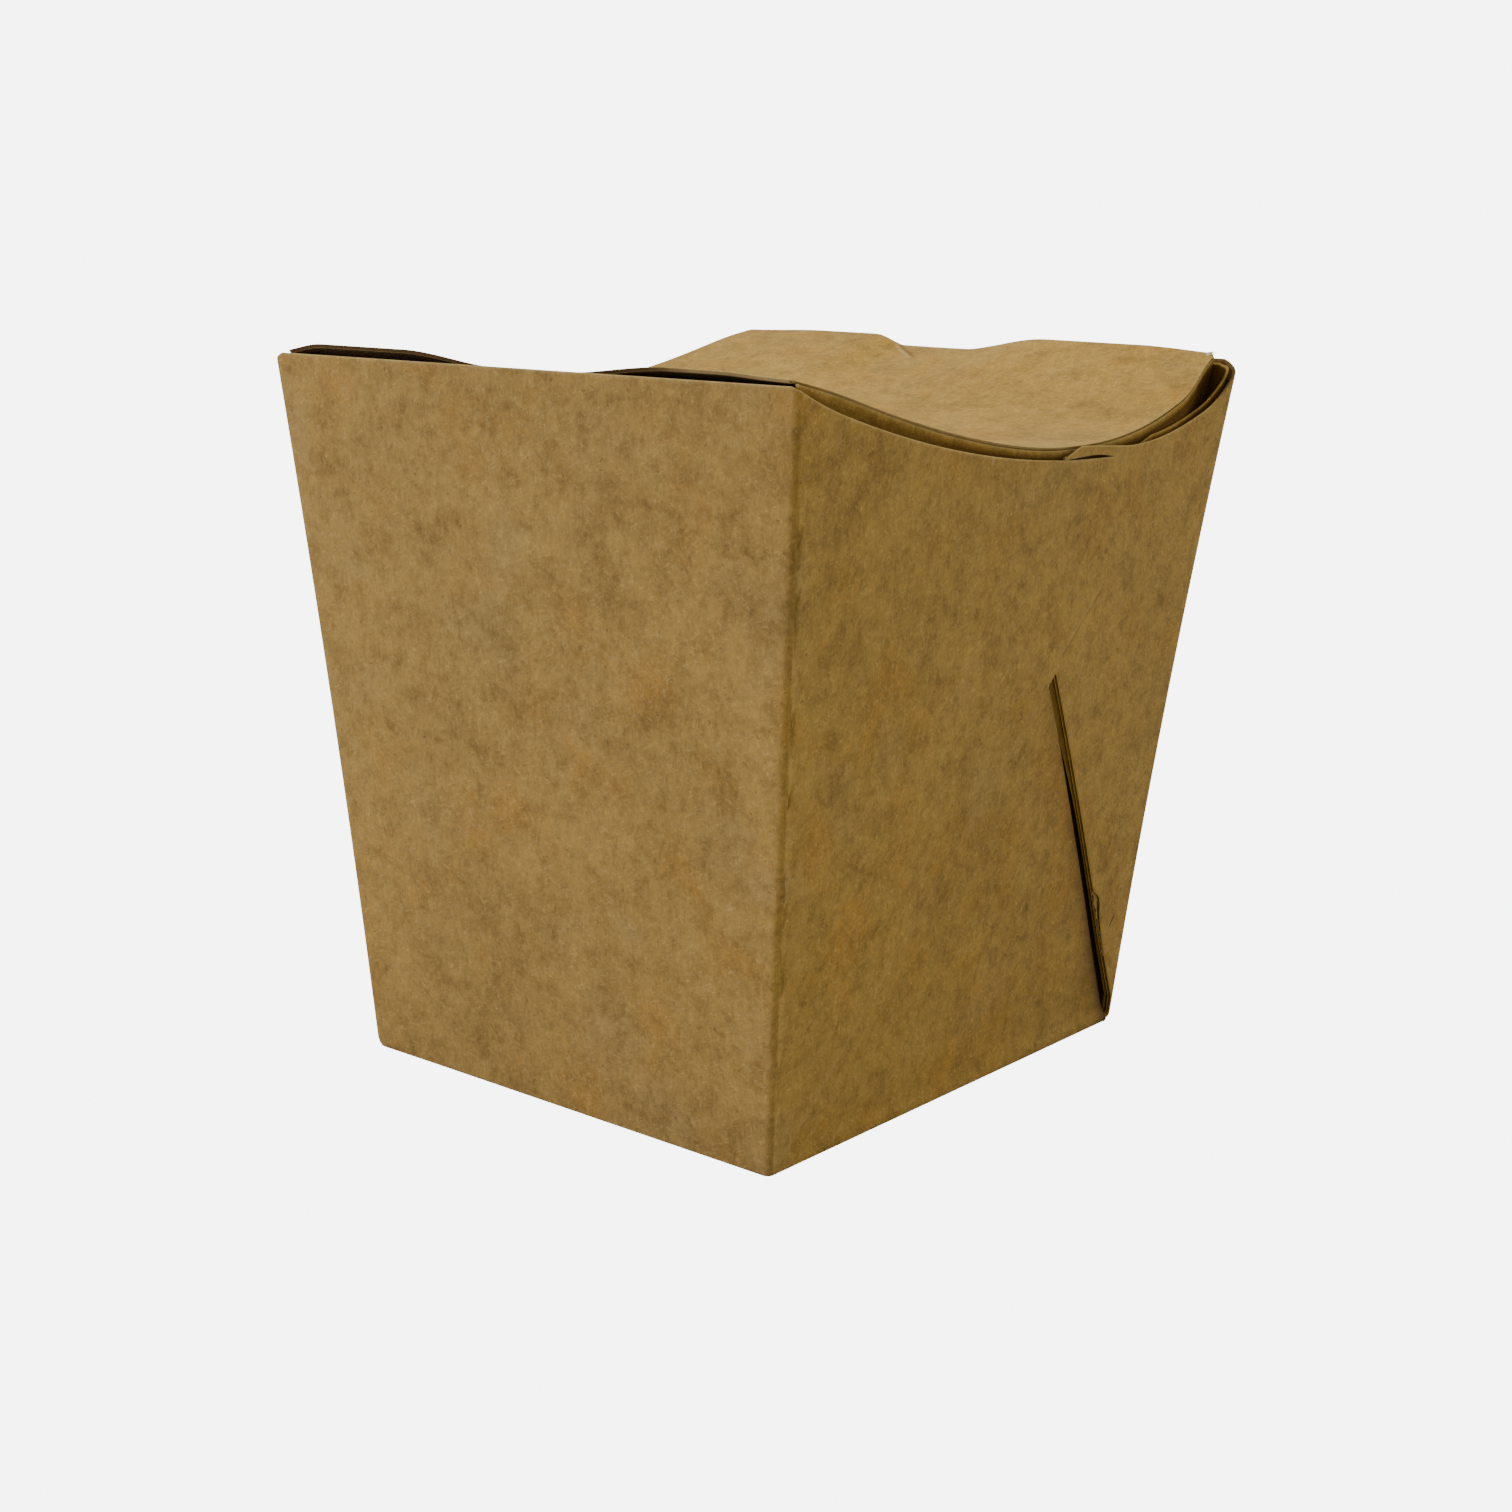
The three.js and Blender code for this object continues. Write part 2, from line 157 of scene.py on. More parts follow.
def mix(start, end, share):
    """Straight line from start, at a share of 0, to end, at a share of 1."""
    return start + (end - start) * share


def half_x(z):
    """Half of the carton's size in X at height z, in a straight line from the base's to the top's."""
    return mix(BASE_X, TOP_X, z / HEIGHT) / 2


def half_y(z):
    """The same in Y."""
    return mix(BASE_Y, TOP_Y, z / HEIGHT) / 2


def loose_radius(z):
    """Radius of a loose corner: it grows with the square of the height."""
    return mix(LOOSE_RADIUS_BASE, LOOSE_RADIUS_TOP, np.clip(z / HEIGHT, 0, 1.02) ** 2)


def near_rim(y):
    """The near stretch of a dipped rim: a parabola, with a steeper turn up to the tight corner."""
    turn = np.clip((-y - NEAR_TURN_FROM) / NEAR_TURN_RUN, 0, 1) ** TURN_POWER
    return NEAR_LOW + NEAR_RISE * (NEAR_Y - y) ** 2 + NEAR_TURN_UP * turn


def far_rim(y):
    """The far stretch: a slope along the tongue, then a parabola that turns up to the loose corner."""
    turn = np.clip((y - FAR_TURN_FROM) / FAR_TURN_RUN, 0, 1) ** TURN_POWER
    curve = np.where(y < FAR_Y, TONGUE_SLOPE * (FAR_Y - y), FAR_RISE * (y - FAR_Y) ** 2)
    return FAR_LOW + curve + FAR_TURN_UP * turn


def dipped_rim(y):
    """Rim of a gusseted wall: the near parabola, a slanted step up, then the far parabola."""
    step = np.clip((y - STEP_FOOT) / (STEP_HEAD - STEP_FOOT), 0, 1)
    return mix(near_rim(np.minimum(y, STEP_FOOT)), far_rim(np.maximum(y, STEP_HEAD)), step)


def edge_lift(lifts, x):
    """Sum of the lifts at x: each eases up to its height, then down to its share of what is left."""
    total = np.zeros_like(x)
    for up, down, height, left in lifts:
        total = total + height * ease(*up, x) * (1 - (1 - left) * ease(*down, x))
    return total


def lid_height(x, y):
    """A saddle: it sinks from both straight rims to a low line that runs askew, and its free edges lift."""
    half = TOP_Y / 2
    across = np.clip(x / (TOP_X / 2), -1, 1)
    low = LID_LOW_Y * across
    dip = mix(LID_DIP[-1], LID_DIP[1], (1 + across) / 2)
    tight_side = np.where(x >= 0, y < low, y > low)
    reach = np.where(y < low, half + low, half - low)
    away = np.minimum(np.abs(y - low) / reach, 1)
    e = LID_ROUNDNESS
    near_rise = (np.hypot(e, away) - e) / (math.hypot(e, 1) - e)
    far_rise = away ** LID_FAR_POWER
    own = np.where(tight_side, near_rise, far_rise)
    rise = mix((near_rise + far_rise) / 2, own, np.abs(across))
    back = edge_lift(BACK_LIFTS, x) * np.exp(-(((half - y) / LIFT_FADE) ** 2))
    front = edge_lift(FRONT_LIFTS, x) * np.exp(-(((half + y) / LIFT_FADE) ** 2))
    return HEIGHT - dip * (1 - rise) + back + front


# Columns of the walls

TOP_START = -TOP_Y / 2 + TIGHT_RADIUS
TOP_RUN = TOP_Y - TIGHT_RADIUS - LOOSE_RADIUS_TOP


def share_at(y):
    """Share of the way along a gusseted wall's top, from its tight corner, at distance y from its middle."""
    return (y - TOP_START) / TOP_RUN


def y_at(share):
    """The inverse: distance from the wall's middle at a share of the way along its top."""
    return TOP_START + TOP_RUN * share


# Shares of the slit's neck and of the fold's peak, which lie on columns
NECK_SHARE, PEAK_SHARE = 0.6222, 0.636
STEP_SHARE = share_at(STEP_FOOT)
SLIT_END_SHARE = share_at(SLIT_END_Y)


def spread(stops):
    """Numbers from the first stop to the last, each stop a value and the steps up to the next one."""
    runs = [np.linspace(a[0], b[0], a[1], endpoint=False) for a, b in zip(stops, stops[1:])]
    return np.concatenate(runs + [np.array([stops[-1][0]])])


GUSSET_SHARES = spread((
    (0.0, 1), (0.012, 44), (STEP_SHARE, 3), (NECK_SHARE, 3), (PEAK_SHARE, 24), (SLIT_END_SHARE, 58), (1.0, 0),
))
PLAIN_SHARES = spread(((0.0, 5), (0.1, 34), (0.9, 5), (1.0, 0)))
TIGHT_TURNS = np.linspace(0, 1, 8)
LOOSE_TURNS = np.linspace(0, 1, 13)


class Columns:
    """Upright lines round the carton: each one's wall, share along the wall and turn round a corner."""

    def __init__(self, wall, share, turn):
        self.wall, self.share, self.turn = wall, share, turn

    def __len__(self):
        return len(self.share)

    @classmethod
    def on_wall(cls, wall, shares):
        return cls(np.full(len(shares), wall), np.asarray(shares, float), np.zeros(len(shares)))

    @classmethod
    def round_corner(cls, wall, turns):
        """The corner at the wall's end, without the column that is the wall's last."""
        count = len(turns) - 1
        return cls(np.full(count, wall), np.ones(count), np.asarray(turns[1:], float))

    @classmethod
    def chain(cls, parts):
        stack = [np.concatenate([getattr(p, key) for p in parts]) for key in ("wall", "share", "turn")]
        return cls(*stack)

    @property
    def gusseted(self):
        return self.wall % 2 == 1

    @property
    def straight(self):
        return self.turn == 0


def whole_way_round():
    """Columns once round, from the front wall's left end, the last one repeating the first."""
    parts = []
    for wall in range(4):
        shares = GUSSET_SHARES if wall % 2 else PLAIN_SHARES
        turns = LOOSE_TURNS if wall % 2 else TIGHT_TURNS
        parts += [Columns.on_wall(wall, shares), Columns.round_corner(wall, turns)]
    return Columns.chain(parts)


def wall_shape(columns, z, inset=0.0):
    """Points at height z: along each wall by its share, then a quarter circle round its corner."""
    plain = ~columns.gusseted
    along = np.where(plain, half_x(z), half_y(z)) - inset
    out = np.where(plain, half_y(z), half_x(z)) - inset
    loose = np.maximum(loose_radius(z) - inset, 0.3)
    tight = np.maximum(TIGHT_RADIUS - inset, 0.3)
    end = np.where(plain, tight, loose)
    start = np.where(plain, loose, tight)
    angle = columns.turn * math.pi / 2
    local_x = mix(start - along, along - end, columns.share) + end * np.sin(angle)
    local_y = end * (1 - np.cos(angle)) - out
    quarter = columns.wall * math.pi / 2
    x = local_x * np.cos(quarter) - local_y * np.sin(quarter)
    y = local_x * np.sin(quarter) + local_y * np.cos(quarter)
    x, y = bowed(x, y, z)
    return np.stack(np.broadcast_arrays(x, y, z), -1)


def bowed(x, y, z):
    """Shifts points along the diagonal of the loose corner near them, by a parabola of the height."""
    side = np.sign(x + y)
    least, height, growth = (np.where(side > 0, BOW[1][k], BOW[-1][k]) for k in range(3))
    shift = least + growth * ((z - height) / BOW_SPAN) ** 2
    shift = shift - SCUFF_DEPTH * (1 - np.clip(z / SCUFF_HEIGHT, 0, 1)) ** 2
    away = np.hypot(x - side * half_x(z), y - side * half_y(z))
    out = side * math.sqrt(0.5) * shift * np.exp(-((away / BOW_REACH) ** 2))
    return x + out, y + out


def flat_shape(columns, z):
    """The same points on the unfolded walls, in millimetres: the distance round, and the height."""
    lengths = (TOP_X, TOP_Y, TOP_X, TOP_Y)
    starts = np.cumsum((0,) + lengths)[:4]
    plain = ~columns.gusseted
    along = np.where(plain, half_x(z), half_y(z))
    span = np.array(lengths)[columns.wall]
    u = starts[columns.wall] + span / 2 + mix(-along, along, columns.share) + 3 * columns.turn
    return np.stack(np.broadcast_arrays(u, z / math.cos(LEAN)), -1)


def rim_height(columns):
    """Top of the outer sheet at each column."""
    y = y_at(columns.share)
    corner_start = dipped_rim(y_at(1.0))
    leads_to = np.where(columns.wall == 1, RIM_AT_LOOSE[2], RIM_AT_LOOSE[0])
    at_loose = mix(corner_start, HEIGHT + leads_to, columns.turn ** CORNER_RISE_POWER)
    gusset = np.where(columns.straight, dipped_rim(y), at_loose)
    loose_end = np.where(columns.wall == 2, RIM_AT_LOOSE[2], RIM_AT_LOOSE[0])
    plain = HEIGHT + mix(loose_end, RIM_AT_TIGHT, columns.share)
    plain = plain - BACK_RIM_DIP * (columns.wall == 2) * np.sin(math.pi * columns.share) ** 2
    plain = plain - (HEIGHT + RIM_AT_TIGHT - dipped_rim(y_at(0.0))) * columns.turn
    return np.where(columns.gusseted, gusset, plain)


def seam_height(columns):
    """Where the two courses of the outer sheet meet. Under the tongue it is the lower lip of its slit."""
    y = y_at(columns.share)
    rise = (dipped_rim(y_at(0.0)) - SEAM) / (STEP_FOOT - y_at(0.0))
    near = dipped_rim(y) - rise * (STEP_FOOT - y)
    far = mix(near_rim(SLIT_END_Y), SEAM, (y - SLIT_END_Y) / (y_at(1.0) - SLIT_END_Y))
    gusset = np.where(y < STEP_FOOT, near, np.where(y < SLIT_END_Y, near_rim(y), far))
    return np.where(columns.gusseted & columns.straight, gusset, SEAM)


# Lines on a gusseted wall

def crease_line(t):
    """Distance along the base of the straight fold, at distance t up the slope."""
    share = (t - CREASE_NEAR[1]) / (CREASE_PEAK[1] - CREASE_NEAR[1])
    return mix(CREASE_NEAR[0], CREASE_PEAK[0], share)


def lip_line(t, torn=True):
    """Free edge of the wall's right piece: a line with a slight bulge, and a tear that fades downwards."""
    share = np.clip((CREASE_PEAK[1] - t) / (CREASE_PEAK[1] - LIP_END[1]), -0.2, 1.2)
    line = mix(CREASE_PEAK[0], LIP_END[0], share) + LIP_BULGE * 4 * share * (1 - share)
    if torn:
        below = TEAR_UP - t
        line = line + TEAR_SIZE * np.exp(-np.maximum(below, 0) / TEAR_FADE) * ease(-1.2, 1.4, below)
    return line


def sliver_lines(t):
    """Left and right edges of the strip of the outer ply that has torn away: frayed, then along the crack."""
    frayed = 0.16 * np.sin(2.9 * t) + 0.1 * np.sin(7.3 * t + 1) + 0.07 * np.sin(17 * t)
    left = lip_line(t, False) - 0.1 + frayed
    crack = 0.12 + 0.45 * ease(11, 18, t) * (1 - ease(TEAR_UP - 2, TEAR_UP + 1, t))
    return left, np.maximum(lip_line(t) - crack, left + 0.1)


def cut_line(t):
    """Free edge of the sunken panel, on the left of the slit."""
    share = np.clip((CUT_NECK[1] - t) / (CUT_NECK[1] - CUT_FOOT[1]), -0.2, 1.2)
    return mix(CUT_NECK[0], CUT_FOOT[0], share) + CUT_BULGE * 4 * share * (1 - share)


def along_wall(share, z):
    """Distance along the base at height z on a gusseted wall."""
    return BASE_Y / 2 + mix(TIGHT_RADIUS - half_y(z), half_y(z) - loose_radius(z), share)


def share_along(distance, z):
    """The inverse: a gusseted wall's share at a distance along the base, at height z."""
    start = BASE_Y / 2 + TIGHT_RADIUS - half_y(z)
    return (distance - start) / (2 * half_y(z) - loose_radius(z) - TIGHT_RADIUS)


def crossing_height(share, line, lowest, highest, rising):
    """Height where a column crosses a line of the wall, by halving the interval between two heights."""
    low = np.full(len(share), float(lowest))
    high = np.full(len(share), float(highest))
    sign = 1 if rising else -1
    for _ in range(40):
        middle = (low + high) / 2
        below = sign * (along_wall(share, middle) - line(middle / math.cos(LEAN))) > 0
        low = np.where(below, middle, low)
        high = np.where(below, high, middle)
    return (low + high) / 2


def lowest_height(columns):
    """Lower edge of the main course: the base, a gusseted wall's fold, or its right piece's free edge."""
    fold = crossing_height(columns.share, crease_line, BASE_EDGE, PEAK_HEIGHT, True)
    lip = crossing_height(columns.share, lip_line, BASE_EDGE, PEAK_HEIGHT, False)
    gusset = np.where(columns.share < PEAK_SHARE, fold, lip)
    tip = crossing_height(np.array([1.0]), lip_line, BASE_EDGE, PEAK_HEIGHT, False)[0]
    corner = mix(BASE_EDGE, tip, (1 - columns.turn) ** 6)
    gusset = np.where(columns.straight, gusset, corner)
    return np.where(columns.gusseted, gusset, BASE_EDGE)


def panel_height(columns):
    """Upper edge of the sunken panel: the fold, then the left side of the slit."""
    fold = crossing_height(columns.share, crease_line, BASE_EDGE, NECK_HEIGHT + 3, True)
    cut = crossing_height(columns.share, cut_line, BASE_EDGE, NECK_HEIGHT + 3, False)
    return np.where(columns.share <= NECK_SHARE, fold, np.minimum(fold, cut))


# Meshes from grids

class Patch:
    """One grid of a sheet: points, the same points unfolded flat, and their wear and shade.

    Wear, with a painted edge highlight, shows paler core on the board. A shade above 0 darkens it as painted
    shade, and one below 0 is painted light on a cut edge.
    """

    def __init__(self, points, flat, worn=0.0, shade=0.0):
        shape = points.shape[:2]
        self.points, self.flat = points, np.broadcast_to(flat, shape + (2,))
        self.worn, self.shade = np.broadcast_to(worn, shape), np.broadcast_to(shade, shape)

    def faces(self, start):
        rows, cols = self.points.shape[:2]
        index = start + np.arange(rows * cols).reshape(rows, cols)
        corners = (index[:-1, :-1], index[:-1, 1:], index[1:, 1:], index[1:, :-1])
        return np.stack(corners, -1).reshape(-1, 4)


def wall_patch(columns, z, inset, worn, shade=0.0):
    """A grid of the walls: columns by heights, each point set in from the face by its inset."""
    return Patch(wall_shape(columns, z, inset), flat_shape(columns, z), worn, shade)


def make_sheet(name, patches, materials, thickness):
    """Joins patches where their points meet, drops folded-up faces and gives the sheet its thickness.

    Its outer side is the one the grids face. The thickness grows inwards, the inner side taking the
    second material and the cut edges the third. Where patches share a point it takes the greater wear
    and shade.
    """
    points = np.concatenate([p.points.reshape(-1, 3) for p in patches])
    flat = np.concatenate([p.flat.reshape(-1, 2) for p in patches])
    worn = np.concatenate([p.worn.reshape(-1) for p in patches])
    shade = np.concatenate([p.shade.reshape(-1) for p in patches])
    starts = np.cumsum([0] + [p.worn.size for p in patches])
    quads = np.concatenate([p.faces(start) for p, start in zip(patches, starts)])

    _, first, place = np.unique(np.round(points / WELD), axis=0, return_index=True, return_inverse=True)
    place = place.reshape(-1)
    joined = place[quads]
    keep_corner = joined != np.roll(joined, -1, axis=1)
    sides = keep_corner.sum(1)
    whole = sides >= 3
    joined, quads, keep_corner, sides = joined[whole], quads[whole], keep_corner[whole], sides[whole]
    loop_vertices = joined[keep_corner]
    loop_sources = quads[keep_corner]
    loop_starts = np.concatenate(([0], np.cumsum(sides)[:-1]))

    mesh = bpy.data.meshes.new(name)
    mesh.vertices.add(len(first))
    mesh.vertices.foreach_set("co", (points[first] * MM).astype(np.float32).ravel())
    mesh.loops.add(len(loop_vertices))
    mesh.loops.foreach_set("vertex_index", loop_vertices.astype(np.int32))
    mesh.polygons.add(len(sides))
    mesh.polygons.foreach_set("loop_start", loop_starts.astype(np.int32))
    mesh.polygons.foreach_set("loop_total", sides.astype(np.int32))
    mesh.update(calc_edges=True)
    layer = mesh.uv_layers.new(name="board_mm")
    layer.data.foreach_set("uv", flat[loop_sources].astype(np.float32).ravel())
    for key, values in zip(SHEET_VALUES, (worn, shade)):
        most = np.full(len(first), -np.inf)
        np.maximum.at(most, place, values)
        attribute = mesh.attributes.new(key, "FLOAT", "POINT")
        attribute.data.foreach_set("value", most.astype(np.float32))
    mesh.polygons.foreach_set("use_smooth", np.ones(len(sides), bool))
    edge_of_loop = np.zeros(len(loop_vertices), np.int32)
    mesh.loops.foreach_get("edge_index", edge_of_loop)
    free = np.bincount(edge_of_loop, minlength=len(mesh.edges)) == 1
    sharp = mesh.attributes.new("sharp_edge", "BOOLEAN", "EDGE")
    sharp.data.foreach_set("value", free)
    mesh.validate()
    for material in materials:
        mesh.materials.append(material)

    piece = bpy.data.objects.new(name, mesh)
    bpy.context.scene.collection.objects.link(piece)
    solid = piece.modifiers.new("board", "SOLIDIFY")
    solid.thickness = thickness
    solid.offset = -1
    solid.material_offset = 1
    solid.material_offset_rim = 2
    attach(piece, BODY)
    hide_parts(NODE)


def rows_between(low, high, inner, low_free, high_free):
    """Heights from low to high in rows that crowd at both ends, with the rounding and wear of free edges."""
    span = high - low
    near = np.minimum(EDGE_ROWS[:, None], span / 3 * (EDGE_ROWS[:, None] / EDGE_ROWS[-1]))
    bottom = low + near
    top = high - near[::-1]
    share = np.linspace(0, 1, inner + 2)[1:-1, None]
    z = np.concatenate([bottom, mix(bottom[-1], top[0], share), top])
    blank = np.zeros((inner, len(low)))

    def at_free_edges(profile):
        return np.concatenate([profile[:, None] * low_free, blank, profile[::-1, None] * high_free])

    return z, at_free_edges(EDGE_ROUND), at_free_edges(EDGE_WEAR_AND_HIGHLIGHT)


def on_slope(columns, z):
    """Distance along the base and up the slope, for columns of a gusseted wall."""
    return along_wall(columns.share, z), z / math.cos(LEAN)


def below_crease(columns, z):
    """Distance from the fold line, positive on the sunken side."""
    s, t = on_slope(columns, z)
    run = np.subtract(CREASE_PEAK, CREASE_NEAR)
    across = np.array((run[1], -run[0])) / np.hypot(*run)
    return (s - CREASE_NEAR[0]) * across[0] + (t - CREASE_NEAR[1]) * across[1]


def fold_wear(z):
    """Wear along the fold: most near the base, least near the slit."""
    return ease(0.2, 1.5, z) * mix(0.5, 0.08, ease(3, 45, z))


def main_course():
    """Walls from the base, or from the fold and the slit, up to the seam."""
    columns = whole_way_round()
    low, high = lowest_height(columns), seam_height(columns)
    y = y_at(columns.share)
    lip = columns.gusseted & columns.straight & (y > STEP_FOOT) & (y < SLIT_END_Y)
    slit = columns.gusseted & ((columns.share > NECK_SHARE) | ~columns.straight) & (columns.turn < 0.97)
    z, inset, worn = rows_between(low, high, 34, slit.astype(float), lip.astype(float))
    folded = columns.gusseted & columns.straight & (columns.share <= NECK_SHARE)
    above = z - low
    sink = CREASE_SINK * np.exp(-above / 0.6) * ease(0.5, 3.0, z)
    inset = inset + np.where(folded, sink, 0)
    worn = worn + np.where(folded, fold_wear(z) * np.exp(-above / 0.3), 0)
    lowest_row = np.arange(len(z))[:, None] == 0
    # Painted light: the lowest row along the slit is lightened as a lit cut edge
    painted_light = -1.0 * (lowest_row & slit & (z < 70))
    return wall_patch(columns, z, inset, worn, painted_light)


def upper_course(wall):
    """From the seam to the rim, and from a gusseted wall's tongue on to the step of the next one.

    The rim's edge is painted with shade round the right wall's loose corner.
    """
    tail = GUSSET_SHARES[GUSSET_SHARES >= SLIT_END_SHARE]
    lead = GUSSET_SHARES[GUSSET_SHARES <= STEP_SHARE]
    plain = (wall + 1) % 4
    columns = Columns.chain([
        Columns.on_wall(wall, tail),
        Columns.round_corner(wall, LOOSE_TURNS),
        Columns.on_wall(plain, PLAIN_SHARES),
        Columns.round_corner(plain, TIGHT_TURNS),
        Columns.on_wall((wall + 2) % 4, lead),
    ])
    low, high = seam_height(columns), rim_height(columns)
    free = np.ones(len(columns))
    z, inset, worn = rows_between(low, high, 3, 0 * free, free)
    round_right = (columns.wall == 1) * ease(44, 49, y_at(columns.share))
    past_right = (columns.wall == 2) * (1 - ease(0.04, 0.07, columns.share))
    # Painted shade at the top of the rim round that corner
    painted_shade = 0.85 * (round_right + past_right) * np.exp(-(high - z) / 0.25)
    return wall_patch(columns, z, inset, worn, painted_shade)


def tongue(wall):
    """The part of a dipped rim that stands over its short slit, from a point to its root."""
    slope = (far_rim(STEP_HEAD) - near_rim(STEP_FOOT)) / (STEP_HEAD - STEP_FOOT)
    tip = STEP_FOOT + TONGUE_GAP_LEAST / slope
    y = spread(((tip, 12), (STEP_HEAD, 26), (SLIT_END_Y, 0)))
    along = (y - STEP_FOOT) / (SLIT_END_Y - STEP_FOOT)
    gap = TONGUE_GAP * np.sin(math.pi * np.clip(along, 0, 1) ** 1.5) + TONGUE_GAP_LEAST * (1 - along)
    free = (y < SLIT_END_Y - 0.01).astype(float)
    z, inset, worn = rows_between(near_rim(y) + gap, dipped_rim(y), 3, free, np.ones(len(y)))
    return wall_patch(Columns.on_wall(wall, share_at(y)), z, inset, worn)


def gusset_panel(wall):
    """The sunken triangle of a gusseted wall: a small step in at the fold, then a slow slope in.

    Painted shade grows towards the slit as an exponential of the distance from it, most near the base.
    """
    columns = Columns.on_wall(wall, GUSSET_SHARES)
    low = np.full(len(columns), BASE_EDGE)
    high = np.maximum(panel_height(columns), BASE_EDGE)
    free = (columns.share > NECK_SHARE).astype(float)
    z, inset, worn = rows_between(low, high, 26, 0 * free, free)
    across = np.maximum(below_crease(columns, z), 0)
    sink = CREASE_SINK + PANEL_STEP * ease(0, 0.7, across) + PANEL_SINK * ease(0, 30, across)
    sink = sink * ease(0.5, 3.0, z)
    folded = columns.share <= NECK_SHARE
    worn = worn + np.where(folded, fold_wear(z) * np.exp(-(high - z) / 0.3), 0)
    distance, slope = on_slope(columns, z)
    beside = np.exp(-np.maximum(cut_line(slope) - distance, 0) / PAINTED_SHADE_REACH)
    painted_shade = np.minimum(mix(1.05, 0.4, ease(3, 50, z)) * beside, PAINTED_SHADE_MOST) * ease(66, 52, z)
    return wall_patch(columns, z, inset + sink, worn, painted_shade)


def base_tray():
    """Rounded lower edge and the flat base, drawn in to its middle."""
    columns = whole_way_round()
    angles = np.linspace(0, math.pi / 2, 5)[:, None]
    z = BASE_EDGE * (1 - np.sin(angles)) + 0 * columns.share
    inset = BASE_EDGE * (1 - np.cos(angles)) + 0 * columns.share
    edge = wall_shape(columns, z, inset)
    sizes = np.array((0.98, 0.85, 0.55, 0.25, 0.0))[:, None, None]
    points = np.concatenate([edge, edge[-1:] * sizes])[::-1]
    points[:, -1] = points[:, 0]
    return Patch(points, points[..., :2] + 20)


# Kraft board

class Wire:
    """A shader socket in a Python expression: each operator adds its Math node."""

    def __init__(self, shader, socket):
        self.shader, self.socket = shader, socket

    def math(self, operation, other, flipped=False):
        """One Math node on this socket and another value, in that order unless flipped."""
        first, second = (other, self) if flipped else (self, other)
        return self.shader.node("ShaderNodeMath", {"operation": operation}, {0: first, 1: second})

    def __add__(self, other):
        return self.math("ADD", other)

    def __sub__(self, other):
        return self.math("SUBTRACT", other)

    def __rsub__(self, other):
        return self.math("SUBTRACT", other, True)

    def __mul__(self, other):
        return self.math("MULTIPLY", other)

    __radd__, __rmul__ = __add__, __mul__

    def smooth(self, start, end):
        """Smooth step from 0 at start to 1 at end."""
        sockets = {"Value": self, "From Min": start, "From Max": end}
        return self.shader.node("ShaderNodeMapRange", {"interpolation_type": "SMOOTHSTEP"}, sockets)


class Shader:
    """The nodes of a material or a world."""

    def __init__(self, owner):
        owner.use_nodes = True
        self.owner, self.tree = owner, owner.node_tree
        self.tree.nodes.clear()

    def node(self, kind, settings=None, sockets=None, output=0):
        """Adds a node, its settings first, then its sockets' values or links, and gives one output of it."""
        made = self.tree.nodes.new(kind)
        for key, value in (settings or {}).items():
            setattr(made, key, value)
        for key, value in (sockets or {}).items():
            if isinstance(value, Wire):
                self.tree.links.new(value.socket, made.inputs[key])
            else:
                made.inputs[key].default_value = value
        return Wire(self, made.outputs[output]) if made.outputs else None

    def blend(self, share, first, second):
        """A colour between two, each a link or three numbers. The share stays within 0 and 1."""
        first, second = (value if isinstance(value, Wire) else (*value, 1.0) for value in (first, second))
        settings = {"data_type": "RGBA", "clamp_factor": True}
        return self.node("ShaderNodeMix", settings, {0: share, 6: first, 7: second}, 2)

    def tint(self, colour, level):
        """A colour made lighter or darker by a number."""
        return self.node("ShaderNodeVectorMath", {"operation": "SCALE"}, {0: colour, "Scale": level})

    def noise(self, place, scale, detail=2.0, roughness=0.5, distortion=0.0):
        """Noise as a number about one half."""
        return self.node("ShaderNodeTexNoise", {"noise_dimensions": "3D"}, {
            "Vector": place, "Scale": scale, "Detail": detail, "Roughness": roughness,
            "Distortion": distortion})


def drawn_out(board, flat, degrees, fineness, length):
    """The unfolded board's points, turned to a direction and scaled so that noise is drawn out along it."""
    turned = board.node("ShaderNodeMapping", {"vector_type": "POINT"}, {
        "Vector": flat, "Rotation": (0, 0, -math.radians(degrees))})
    return board.node("ShaderNodeMapping", {"vector_type": "POINT"}, {
        "Vector": turned, "Scale": (1 / length, 1 / fineness, 1)})


# Tones of the board as multiples of its colour, colours that are its own, the worn core with a painted edge
# highlight, painted light, painted shade, and the colours of marks and of a painted highlight and shadow
REDDISH, GREYISH = (1.04, 0.84, 0.6), (0.98, 1.05, 1.6)
DEEP, PALE = (0.72, 0.66, 0.5), (1.38, 1.48, 2.0)
WORN_CORE_AND_HIGHLIGHT, PAINTED_LIGHT, PAINTED_SHADE = (0.46, 0.32, 0.12), (0.95, 0.56, 0.065), (0.075, 0.03, 0.0005)
SPECK, PALE_MARK_AND_HIGHLIGHT, DARK_MARK_AND_SHADOW = (0.14, 0.07, 0.02), (0.5, 0.34, 0.14), (0.1, 0.05, 0.01)
RELIEF, ROUGHNESS = 0.00009, 0.82
FACE_GLOSS, HIDDEN_GLOSS = 0.28, 0.06

